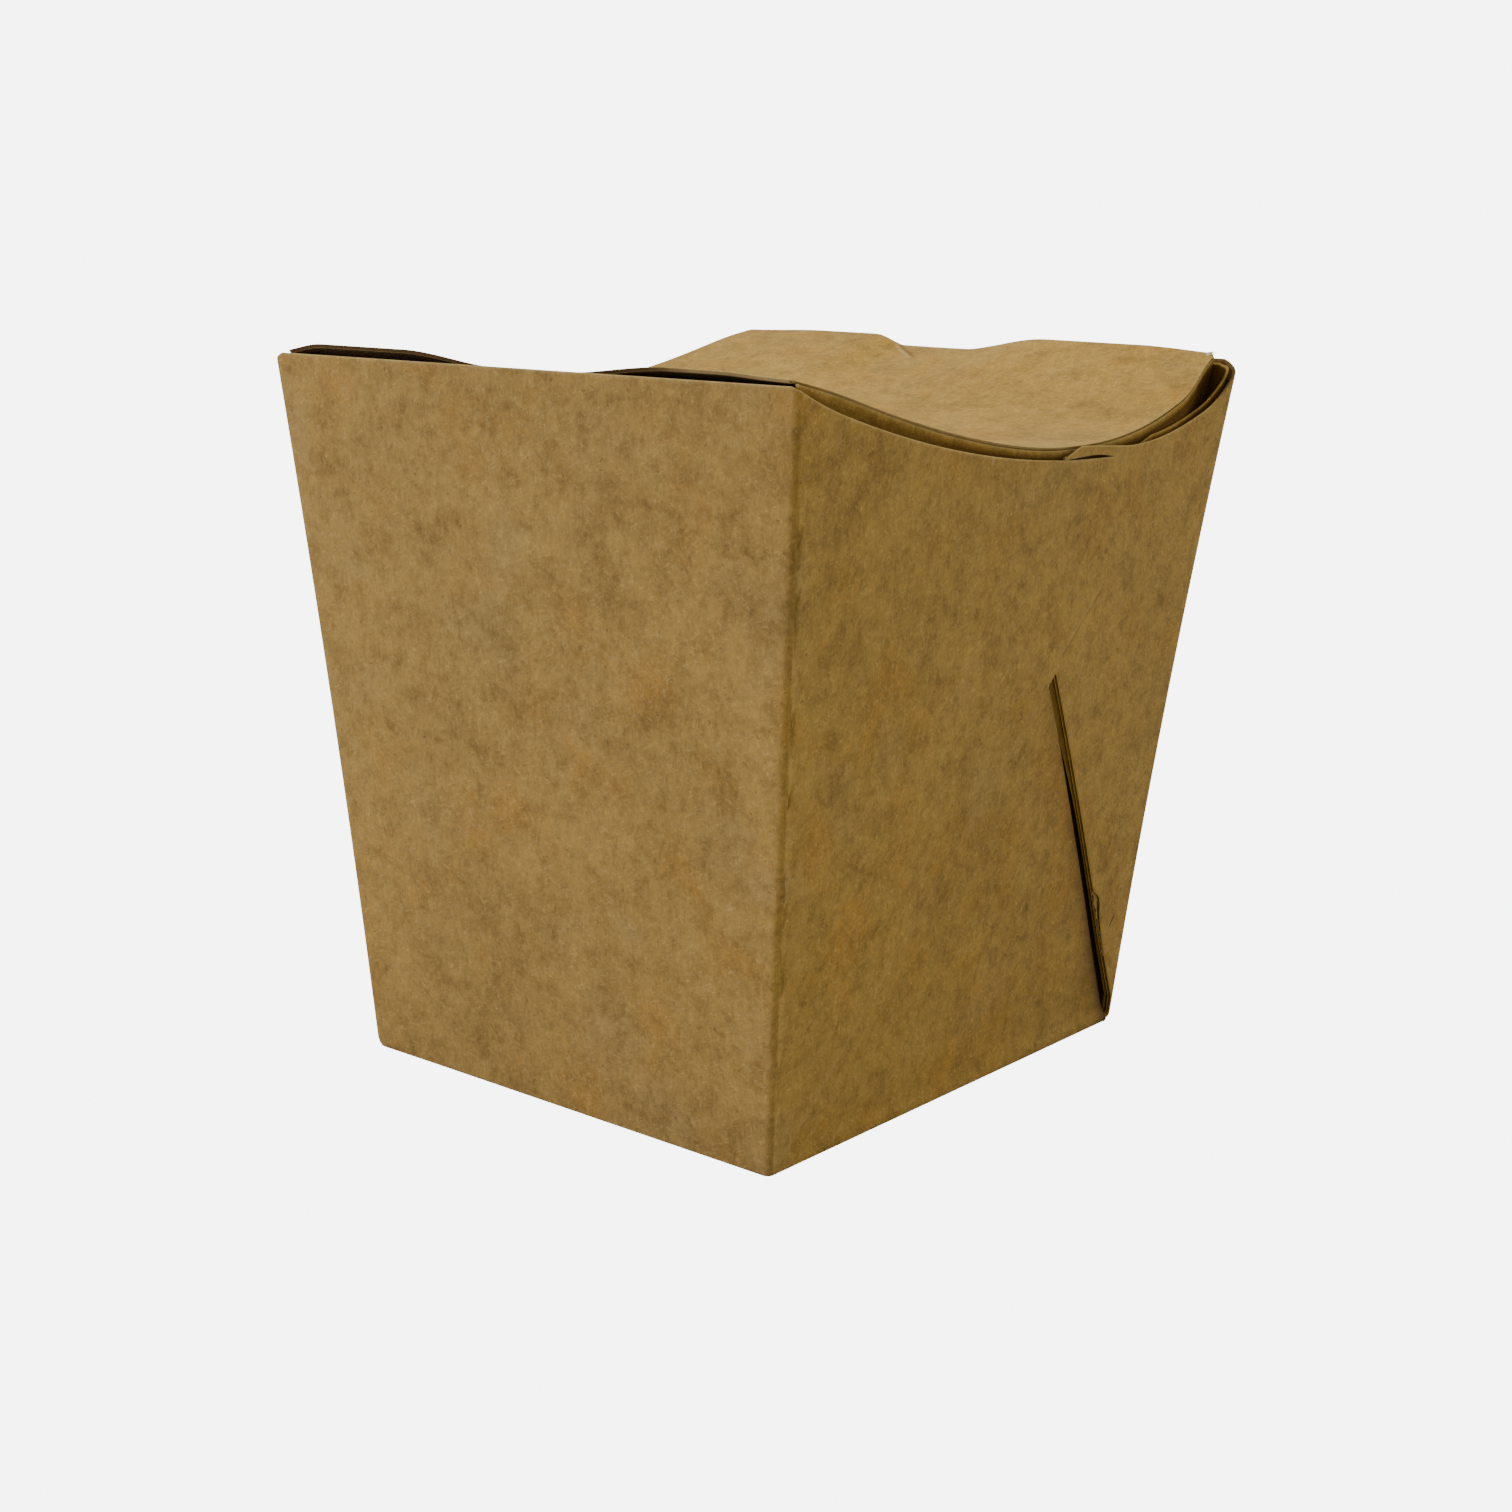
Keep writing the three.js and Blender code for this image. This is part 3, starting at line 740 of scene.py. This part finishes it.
# Marks on the unfolded board of the right wall and the lid: both ends, half width and strength. On the lid, a
# pale and a dark mark are the painted highlight and painted shadow of a tab's edge
PALE_MARKS_AND_PAINTED_HIGHLIGHT = (
    ((158.4, 61.4), (168.8, 71.8), 0.35, 0.2),
    ((135.3, 89.9), (135.9, 91.3), 0.3, 0.7),
    ((110.5, 3.2), (113.0, 4.8), 0.4, 0.3),
    # Painted highlight: the lit edge of a tab on the lid
    ((-15.2, 51.3), (-8.0, 45.6), 0.4, 0.5),
)
DARK_MARKS_AND_PAINTED_SHADOW = (
    ((158.9, 61.2), (169.3, 71.6), 0.35, 0.2),
    ((185.9, 18.4), (184.2, 15.9), 0.3, 0.9),
    # Painted shadow beside that tab's edge
    ((-14.5, 51.6), (-7.4, 46.0), 0.4, 0.5),
)


def mark(flat_x, flat_y, start, end, width):
    """A narrow line between two points of the unfolded board, that fades at both ends."""
    length = math.dist(start, end)
    ahead = ((end[0] - start[0]) / length, (end[1] - start[1]) / length)
    right, up = flat_x - start[0], flat_y - start[1]
    along = right * ahead[0] + up * ahead[1]
    across = (right * ahead[1] - up * ahead[0]).math("ABSOLUTE", 0.0)
    thin = 1.0 - across.smooth(width * 0.4, width)
    fade = min(1.5, length / 3)
    return thin * along.smooth(0.0, fade) * (1.0 - along.smooth(length - fade, length))


def kraft(name, colour, contrast=1.0, gloss=FACE_GLOSS):
    """Uncoated kraft board: clouds, mottling, crossed fibres, faint marks, worn edges with a painted
    highlight, and painted shade and painted light from the sheet's shade.
    """
    def tone_of(multiples):
        return tuple(np.multiply(colour, multiples))

    def fibres(degrees, fineness, length):
        return board.noise(drawn_out(board, flat, degrees, fineness, length), 1.0)

    def flecks(degrees, fineness, length):
        there = drawn_out(board, flat, degrees, fineness, length)
        return board.noise(there, 1.0, 1.0, distortion=0.7).smooth(0.56, 0.72)

    board = Shader(bpy.data.materials.new(name))
    place = board.node("ShaderNodeTexCoord", output="Object")
    flat = board.node("ShaderNodeUVMap", {"uv_map": "board_mm"})
    flat_x, flat_y = (board.node("ShaderNodeSeparateXYZ", {}, {"Vector": flat}, axis) for axis in "XY")
    worn, shade = (
        board.node("ShaderNodeAttribute", {"attribute_name": key}, output="Fac") for key in SHEET_VALUES)
    clouds = board.noise(place, 38.0, 3.0)
    blotch = board.noise(place, 170.0, 3.0, 0.62)
    mottle = board.noise(place, 430.0, 3.0, 0.62)
    grain = board.noise(place, 1500.0, 2.0)
    upright, slanted, crossed = fibres(90, 0.4, 4.0), fibres(62, 0.4, 3.0), fibres(15, 0.35, 2.5)
    pale = flecks(25, 0.3, 1.3) + flecks(100, 0.3, 1.2) + flecks(150, 0.28, 1.1)
    tone = (clouds - 0.5) * 0.4 + (blotch - 0.5) * 0.42 + (mottle - 0.5) * 0.6 + (grain - 0.5) * 0.6
    tone = tone + (upright - 0.5) * 0.2 + (slanted - 0.5) * 0.16 + (crossed - 0.5) * 0.16
    deep = (1.0 - blotch.smooth(0.3, 0.52)) * 0.38 + (1.0 - mottle.smooth(0.3, 0.52)) * 0.34
    redder = board.noise(place, 90.0, 3.0).smooth(0.48, 0.72)
    greyer = board.noise(place, 60.0, 3.0, 0.6).smooth(0.5, 0.75)
    base = board.blend(redder * 0.6, colour, tone_of(REDDISH))
    base = board.blend(greyer * 0.55, base, tone_of(GREYISH))
    base = board.blend(deep * contrast, base, tone_of(DEEP))
    base = board.blend(pale * 0.42, base, tone_of(PALE))
    base = board.tint(base, tone * contrast + 1.0)
    specks = board.noise(place, 1900.0, 0.0).smooth(0.80, 0.83)
    base = board.blend(specks * 0.5, base, SPECK)
    # Worn free edges and folds; the free edges are also lightened as a painted highlight
    base = board.blend(worn * (mottle * 0.8 + 0.35), base, WORN_CORE_AND_HIGHLIGHT)
    for marks, mark_colour in ((PALE_MARKS_AND_PAINTED_HIGHLIGHT, PALE_MARK_AND_HIGHLIGHT), (DARK_MARKS_AND_PAINTED_SHADOW, DARK_MARK_AND_SHADOW)):
        for start, end, width, strength in marks:
            base = board.blend(mark(flat_x, flat_y, start, end, width) * strength, base, mark_colour)
    # Painted light: a shade below 0 lightens a cut edge
    base = board.blend(shade * -1.0, base, PAINTED_LIGHT)
    # Painted shade: a shade above 0 darkens the board
    base = board.blend(shade, base, PAINTED_SHADE)
    height = blotch * 0.3 + mottle * 0.5 + upright * 0.3 + slanted * 0.25 + pale * 0.3 + clouds * 0.4
    bump = board.node("ShaderNodeBump", {}, {"Strength": 1.0, "Distance": RELIEF, "Height": height})
    surface = board.node("ShaderNodeBsdfPrincipled", {}, {
        "Base Color": base, "Roughness": ROUGHNESS, "Normal": bump, "Specular IOR Level": gloss})
    board.node("ShaderNodeOutputMaterial", {}, {"Surface": surface})
    return board.owner


def finishes(context, hidden=False):
    """The board's finishes for a sheet: its face, its inner side and its cut edge.

    A hidden ply lies in the box, where little is reflected, and so it takes duller ones.
    """
    look = context.scene.carton_finish
    kinds = (("face", look.face, 1.0), ("inner", look.inner, 0.6), ("cut", look.cut, 0.7))
    prefix, gloss = ("ply_", HIDDEN_GLOSS) if hidden else ("kraft_", FACE_GLOSS)
    return [
        bpy.data.materials.get(prefix + kind) or kraft(prefix + kind, tuple(colour), contrast, gloss)
        for kind, colour, contrast in kinds]


# Pieces

def length_setting(name, description, default):
    """A length that a user may change, in metres."""
    return FloatProperty(
        name=name, description=description, default=default, subtype="DISTANCE", unit="LENGTH")


def colour_setting(name, description, default):
    """A colour that a user may change."""
    return FloatVectorProperty(
        name=name, description=description, default=default, subtype="COLOR", size=3, min=0, max=1)


class CartonSizes(bpy.types.PropertyGroup):
    """Sizes a user would change."""
    board: length_setting("Board", "Thickness of the board", 0.00045)
    skirt: length_setting("Skirt", "How far the inner ply reaches below the lid", 0.0085)


class CartonFinish(bpy.types.PropertyGroup):
    """Colours of the board."""
    face: colour_setting("Face", "Outer face of the board", (0.36, 0.213, 0.046))
    # The inner side is darker than the face: painted shade for the inside of the box
    inner: colour_setting("Inner side", "Inner side of the board", (0.16, 0.09, 0.025))
    cut: colour_setting("Cut edge", "Cut edge of the board", (0.34, 0.215, 0.065))
    fibre: colour_setting("Loose fibres", "Frayed fibres of the lid's corner", (0.85, 0.76, 0.55))


class CartonStudio(bpy.types.PropertyGroup):
    """Floor, lights and camera."""
    floor: colour_setting("Floor", "Colour of the floor", (0.5, 0.5, 0.5))
    backdrop: FloatProperty(name="Backdrop", description="How bright the surround looks", default=6.5)
    lamps: FloatProperty(name="Lamps", description="Power of a lamp of strength 1", default=10, unit="POWER")
    lens: FloatProperty(name="Lens", description="Focal length of the camera", default=55.24, unit="CAMERA")


class CARTON_OT_outer_sheet(bpy.types.Operator):
    """Folds the outer sheet: walls, dipped rims, sunken panels and base"""
    bl_idname = "carton.outer_sheet"
    bl_label = "Outer sheet"

    def execute(self, context):
        parts = [part(wall) for part in (upper_course, tongue, gusset_panel) for wall in (1, 3)]
        patches = [main_course(), *parts, base_tray()]
        make_sheet("outer_sheet", patches, finishes(context), context.scene.carton_sizes.board)
        return {"FINISHED"}


def slit_ply(wall, inset, back, shades, cover):
    """A ply behind the right piece of a gusseted wall, its free edge along that piece's edge.

    Near the slit's top it reaches further by its cover, and so closes the gap from behind. Its face is
    painted shade, and its cut edge takes one shade near the base and another near the top: above 0 painted
    shade, below 0 painted light.
    """
    def free_edge(t):
        return lip_line(t, False) + back - cover * ease(34, 56, t)

    shares = GUSSET_SHARES[GUSSET_SHARES > PEAK_SHARE]
    columns = Columns.chain([Columns.on_wall(wall, shares), Columns.round_corner(wall, LOOSE_TURNS)])
    low = crossing_height(columns.share, free_edge, BASE_EDGE, PEAK_HEIGHT, False)
    low = np.where(columns.straight, low, mix(BASE_EDGE, low, (1 - columns.turn) ** 6))
    free = np.ones(len(columns))
    z, rounding, worn = rows_between(low, low + SLIT_PLY_HEIGHT, 6, free, 0 * free)
    points = wall_shape(columns, z, rounding + inset)
    lowest_row = np.arange(len(z))[:, None] == 0
    cut = mix(*shades, ease(20, 38, z))
    # Painted shade on the ply's face, less towards the top
    shade = np.where(lowest_row, cut, mix(0.55, 0.35, ease(25, 50, z)))
    return Patch(points, flat_shape(columns, z) + 31 * inset, 0.3 * worn, shade)


def lining(wall):
    """The folded board further in behind the slit, from above the base to past the slit's top. It is painted
    dark as shade.
    """
    columns = Columns.chain([
        Columns.on_wall(wall, np.linspace(0.4, 1, 30)), Columns.round_corner(wall, LOOSE_TURNS)])
    z = np.linspace(LINING_LOW, LINING_TOP, 30)[:, None] + 0 * columns.share
    # A shade of 0.9: painted shade, dark where there is only shade behind the slit
    return Patch(wall_shape(columns, z, LINING_INSET), flat_shape(columns, z) + 83, 0.0, 0.9)


def sliver(wall):
    """The torn strip beside the slit: from its left line to its right line at each distance up the slope."""
    t = np.linspace(TEAR_UP + 0.8, 11.5, 74)[:, None]
    left, right = sliver_lines(t)
    across = np.linspace(0, 1, 6)
    distance = mix(left, right, across)
    z = t * math.cos(LEAN) + 0 * distance
    share = share_along(distance, z)
    columns = Columns(np.full(share.shape, wall), share, 0 * share)
    sunk = 0.12 + 0.1 * ease(17, TEAR_UP, t)
    worn = 0.8 * (1 - ease(0, 0.5, across)) + 0 * t
    return Patch(wall_shape(columns, z, sunk)[::-1], flat_shape(columns, z)[::-1], worn[::-1], 0.28)


class CARTON_OT_slit_plies(bpy.types.Operator):
    """Adds the second and third plies and the torn strip that show beside the slit of each gusseted wall"""
    bl_idname = "carton.slit_plies"
    bl_label = "Plies at the slits"

    def execute(self, context):
        sizes = context.scene.carton_sizes
        patches = []
        for wall in (1, 3):
            patches += [slit_ply(wall, *ply) for ply in SLIT_PLIES] + [lining(wall)]
        make_sheet("slit_plies", patches, finishes(context, True), sizes.board)
        make_sheet("torn_strips", [sliver(1), sliver(3)], finishes(context), sizes.board / 2)
        return {"FINISHED"}


def lid_side(y):
    """Half width of the lid on its right at y: in from the leaning wall, and tapered at the loose corner."""
    edge = np.full_like(y, TOP_X / 2 - LID_INSET_X)
    lean = half_x(lid_height(edge, y)) / (TOP_X / 2)
    return edge * lean - LID_TAPER * ease(LID_TAPER_FROM, TOP_Y / 2 - LID_INSET_Y, y)


def lid_top(x, y):
    """Upper side of the lid: its free edges over the dipped rims curl up a little."""
    curl = LID_CURL * np.exp(-(((TOP_X / 2 - np.abs(x)) / 8) ** 2))
    return lid_height(x, y) + curl * (1 - np.exp(-(((TOP_Y / 2 - np.abs(y)) / 6) ** 2)))


def lid_patch():
    """The lid from side to side at each y, its corners rounded off by a quarter circle."""
    depth = TOP_Y / 2 - LID_INSET_Y
    inner = np.linspace(-1, 1, LID_STEPS)[1:-1] * (depth - EDGE_ROWS[-1])
    y = np.concatenate([EDGE_ROWS - depth, inner, depth - EDGE_ROWS[::-1]])
    radius = np.where(y > 0, 1.1, 0.6)
    away = np.clip(1 - (depth - np.abs(y)) / radius, 0, 1)
    corner = radius * (1 - np.sqrt(1 - away ** 2))
    right, left = lid_side(y) - corner, -lid_side(-y) + corner
    middle = np.linspace(0, 1, LID_STEPS)[1:-1, None]
    low, high = left + EDGE_ROWS[:, None], right - EDGE_ROWS[::-1, None]
    x = np.concatenate([low, mix(low[-1], high[0], middle), high])
    y = y + 0 * x
    y = y - LID_CORNER_REACH * ease(38, 44, x) * ease(38, 50, -y)
    z = lid_top(x, y)

    def from_edges(profile):
        row = np.concatenate([profile, np.zeros(LID_STEPS - 2), profile[::-1]])
        return np.maximum(row[:, None], row)

    z = z - from_edges(EDGE_ROUND) * 0.9
    points = np.stack((x, y, z), -1).transpose(1, 0, 2)
    # Painted shade on the front cut edge of the lid's left part
    front_edge = np.arange(x.shape[1]) == 0
    painted_shade = 0.9 * (1 - ease(22, 31, x)) * front_edge
    return Patch(points, points[..., :2], from_edges(EDGE_WEAR_AND_HIGHLIGHT), painted_shade.T)


def fibre_patch(start, end, rise, width):
    """A loose fibre of the lid's corner: from start to end, arched by a parabola and narrowing to its tip."""
    share = np.linspace(0, 1, 9)[:, None]
    side = np.array((-0.5, 0.5))
    run = np.subtract(end, start)
    across = np.array((run[1], -run[0])) / np.hypot(*run)
    reach = width * (1 - 0.8 * share) * side
    x, y = (start[k] + run[k] * share + across[k] * reach for k in (0, 1))
    root = lid_top(np.array(start[0]), np.array(start[1])) - 0.05
    z = root + rise * 4 * share * (1 - 0.6 * share) + 0 * side
    return Patch(np.stack((x, y, z), -1), np.stack((x, y), -1))


# Both ends, rise and width of each loose fibre
FIBRES = (
    ((41.8, 50.8), (42.7, 51.5), 0.22, 0.34), ((41.7, 50.5), (42.2, 51.7), 0.3, 0.3),
    ((41.3, 51.0), (42.6, 51.3), 0.18, 0.32), ((41.9, 50.7), (43.1, 50.6), 0.12, 0.28),
)


class CARTON_OT_lid(bpy.types.Operator):
    """Lays the lid's top panel, with the frayed fibres of one corner"""
    bl_idname = "carton.lid"
    bl_label = "Lid"

    def execute(self, context):
        make_sheet("lid", [lid_patch()], finishes(context), context.scene.carton_sizes.board)
        pale = kraft("loose_fibres", tuple(context.scene.carton_finish.fibre), 0.4)
        make_sheet("frayed_fibres", [fibre_patch(*fibre) for fibre in FIBRES], [pale] * 3, 0.08 * MM)
        return {"FINISHED"}


def strip(x, y, top, depth, shade, rows=7):
    """A ply that stands on edge along a path: each point of the path carries an upright of given depth."""
    drop = np.concatenate([EDGE_ROWS, np.linspace(EDGE_ROWS[-1], depth, rows)[1:]])[:, None]
    worn = np.concatenate([EDGE_WEAR_AND_HIGHLIGHT, np.zeros(rows - 1)])[:, None] + 0 * x
    z = top - drop
    points = np.stack((x * half_x(z) / half_x(top), y * half_y(z) / half_y(top), z), -1)[::-1]
    run = np.concatenate(([0], np.cumsum(np.hypot(np.diff(x), np.diff(y)))))
    flat = np.stack((run + 0 * drop, z), -1)[::-1]
    return Patch(points, flat, worn[::-1], (shade * ease(0.15, 1.0, drop))[::-1])


def skirt_patch(side, depth):
    """Inner ply under the lid's free edge. On the right it goes on round the loose corner."""
    y = np.linspace(SKIRT_START, TOP_Y / 2 - LID_INSET_Y - SKIRT_CORNER, 116)
    x = lid_side(y) + 0.05 + 0.4 * (1 - ease(-51, -45, y))
    if side > 0:
        turn = np.linspace(0, math.pi / 2, 7)[1:]
        corner_x = x[-1] + SKIRT_CORNER * (np.cos(turn) - 1)
        corner_y = y[-1] + SKIRT_CORNER * np.sin(turn) + 0.05
        back_x = corner_x[-1] - np.linspace(0, SKIRT_BACK, 8)[1:]
        x = np.concatenate([x, corner_x, back_x])
        y = np.concatenate([y, corner_y, np.full(len(back_x), corner_y[-1])])
    gap = 0.07 * ease(-33, -20, y) * (1 - ease(9, 16, y))
    top = lid_top(side * x, side * y) - SKIRT_DROP - gap
    # Painted shade on the skirt, deeper away from the tight corner
    shade = mix(0.55, 0.88, ease(-45, 0, y))
    return strip(side * x, side * y, top, depth, shade)


def loop_patch(wall, fall):
    """Ply that loops round a loose corner inside the outer sheet.

    It comes up from behind the dipped rim, stands a little above it, and past the corner it falls by a
    smooth step below the straight rim.
    """
    shares = np.linspace(share_at(LOOP_START), 1, 40)
    plain = (wall + 1) % 4
    columns = Columns.chain([
        Columns.on_wall(wall, shares),
        Columns.round_corner(wall, LOOSE_TURNS),
        Columns.on_wall(plain, np.linspace(0, 0.055, 8)[1:]),
    ])
    rim, y = rim_height(columns), y_at(columns.share)
    own = columns.wall == wall
    inward = np.where(own, ease(34, 46, y), 1)
    turned = np.where(own, columns.turn, 1)
    rise = mix(*LOOP_RISE, inward) - (1 - np.where(own, ease(26, 31, y), 1))
    top = rim + rise - fall * ease(0.3, 1, turned)
    z, inset, worn = rows_between(rim - LOOP_DEPTH, top, 4, np.zeros(len(rim)), np.ones(len(rim)))
    below = ease(0.1, 0.8, top - z)
    points = wall_shape(columns, z, inset + mix(*LOOP_INSET, inward))
    # Painted shade on the loop, deeper below its top
    return Patch(points, flat_shape(columns, z) + 57, 0.6 * worn, 0.25 + 0.6 * below)


class CARTON_OT_rim_plies(bpy.types.Operator):
    """Stands the inner plies that show in the dipped rims and in the pockets of the loose corners"""
    bl_idname = "carton.rim_plies"
    bl_label = "Plies at the rims"

    def execute(self, context):
        sizes = context.scene.carton_sizes
        skirts = [skirt_patch(side, sizes.skirt / MM) for side in (1, -1)]
        make_sheet("rim_skirts", skirts, finishes(context, True), sizes.board)
        loops = [loop_patch(wall, fall) for wall, fall in LOOP_FALL.items()]
        make_sheet("corner_loops", loops, finishes(context, True), sizes.board)
        return {"FINISHED"}


# Stage

CAMERA_PLACE = (208.86, -259.65, 117.44)
CAMERA_PAN, CAMERA_TILT, CAMERA_ROLL = 38.970, 12.616, 1.284
CAMERA_SHIFT = (0.0013, -0.0004)
FLOOR_REACH = 6.0
SKY_STRENGTH = 0.3


def camera_matrix():
    """The camera's place and axes: panned from +Y towards -X, tilted down, then rolled about its own axis."""
    turns = ((CAMERA_PAN, "Z"), (90 - CAMERA_TILT, "X"), (CAMERA_ROLL, "Z"))
    pan, tilt, roll = (Matrix.Rotation(math.radians(angle), 4, axis) for angle, axis in turns)
    return Matrix.Translation(Vector(CAMERA_PLACE) * MM) @ pan @ tilt @ roll


# Place, aim, size and strength of each lamp, the strength as red, green and blue
LAMPS = (
    ("above", (0, 0, 1.1), (0, 0, 0.05), (1.2, 1.2), (1.193, 1.18, 0.80)),
    ("front_left", (-0.75, -1.0, 0.45), (0, 0, 0.06), (0.9, 0.9), (0.998, 1.049, 1.435)),
    ("back", (-0.6, 1.1, 0.6), (0, 0, 0.06), (1.2, 0.9), (0.524, 0.525, 0.5)),
    ("right_back", (0.5, 1.1, 0.35), (0, 0, 0.06), (0.7, 0.7), (0.535, 0.531, 0.44)),
)


def pale_floor(colour, backdrop):
    """A matt floor that also glows where the camera sees it, so that it looks white."""
    pale = Shader(bpy.data.materials.new("pale_floor"))
    cloud = pale.noise(pale.node("ShaderNodeTexCoord", output="Object"), 3.0)
    seen = pale.node("ShaderNodeLightPath", output="Is Camera Ray")
    matt = pale.node("ShaderNodeBsdfDiffuse", {}, {"Color": pale.tint(colour, cloud * 0.02 + 0.99)})
    glow = pale.node("ShaderNodeEmission", {}, {"Color": (1, 1, 1, 1), "Strength": backdrop})
    surface = pale.node("ShaderNodeMixShader", {}, {0: seen, 1: matt, 2: glow})
    pale.node("ShaderNodeOutputMaterial", {}, {"Surface": surface})
    return pale.owner


def pale_world(strength, backdrop):
    """An even pale surround, brighter where the camera sees it."""
    pale = Shader(bpy.data.worlds.new("studio"))
    seen = pale.node("ShaderNodeLightPath", output="Is Camera Ray")
    level = seen * (backdrop - strength) + strength
    sky = pale.node("ShaderNodeBackground", {}, {"Color": (1, 1, 1, 1), "Strength": level})
    pale.node("ShaderNodeOutputWorld", {}, {"Surface": sky})
    return pale.owner


def soft_light(power, name, place, aim, size, strength):
    """A rectangular light at a place, facing a point, all in metres."""
    light = bpy.data.lights.new(name, "AREA")
    light.shape = "RECTANGLE"
    light.size, light.size_y = size
    light.energy = power * max(strength)
    light.color = [value / max(strength) for value in strength]
    lamp = bpy.data.objects.new(name, light)
    lamp.location = place
    lamp.rotation_euler = (Vector(aim) - Vector(place)).to_track_quat("-Z", "Y").to_euler()
    bpy.context.scene.collection.objects.link(lamp)


class CARTON_OT_stage(bpy.types.Operator):
    """Sets the floor, the soft lights and the camera"""
    bl_idname = "carton.stage"
    bl_label = "Stage"

    def execute(self, context):
        studio = context.scene.carton_studio
        floor_mesh = bpy.data.meshes.new("floor")
        corners = np.array(((-1, -1, 0), (1, -1, 0), (1, 1, 0), (-1, 1, 0))) * FLOOR_REACH
        floor_mesh.from_pydata(corners, [], [(0, 1, 2, 3)])
        floor_mesh.materials.append(pale_floor(tuple(studio.floor), studio.backdrop))
        floor = bpy.data.objects.new("floor", floor_mesh)
        context.scene.collection.objects.link(floor)
        context.scene.world = pale_world(SKY_STRENGTH, studio.backdrop)
        for lamp in LAMPS:
            soft_light(studio.lamps, *lamp)

        data = bpy.data.cameras.new("camera")
        data.lens = studio.lens
        data.shift_x, data.shift_y = CAMERA_SHIFT
        data.clip_start = 0.01
        camera = bpy.data.objects.new("camera", data)
        camera.matrix_world = camera_matrix()
        context.scene.collection.objects.link(camera)
        context.scene.camera = camera
        return {"FINISHED"}


class CARTON_PT_panel(bpy.types.Panel):
    """Lists the carton's pieces and its settings"""
    bl_label = "Noodle takeaway box"
    bl_idname = "CARTON_PT_panel"
    bl_space_type = "VIEW_3D"
    bl_region_type = "UI"
    bl_category = "Carton"

    def draw(self, context):
        for group in (context.scene.carton_sizes, context.scene.carton_finish, context.scene.carton_studio):
            for name in group.__annotations__:
                self.layout.prop(group, name)
        for operator in OPERATORS:
            self.layout.operator(operator.bl_idname)


GROUPS = {"carton_sizes": CartonSizes, "carton_finish": CartonFinish, "carton_studio": CartonStudio}
OPERATORS = (
    CARTON_OT_outer_sheet, CARTON_OT_slit_plies, CARTON_OT_rim_plies, CARTON_OT_lid, CARTON_OT_stage,
)
CLASSES = (*GROUPS.values(), *OPERATORS, CARTON_PT_panel)


def register():
    """Makes the settings, the pieces' operators and the panel known to Blender."""
    for made in CLASSES:
        bpy.utils.register_class(made)
    for name, group in GROUPS.items():
        setattr(bpy.types.Scene, name, PointerProperty(type=group))


def unregister():
    """Takes them out again, the last one first."""
    for name in GROUPS:
        delattr(bpy.types.Scene, name)
    for made in reversed(CLASSES):
        bpy.utils.unregister_class(made)


def main():
    """Builds every piece."""
    register()
    bpy.ops.carton.outer_sheet()
    bpy.ops.carton.slit_plies()
    bpy.ops.carton.rim_plies()
    bpy.ops.carton.lid()
    bpy.ops.carton.stage()


if __name__ == "__main__":
    main()
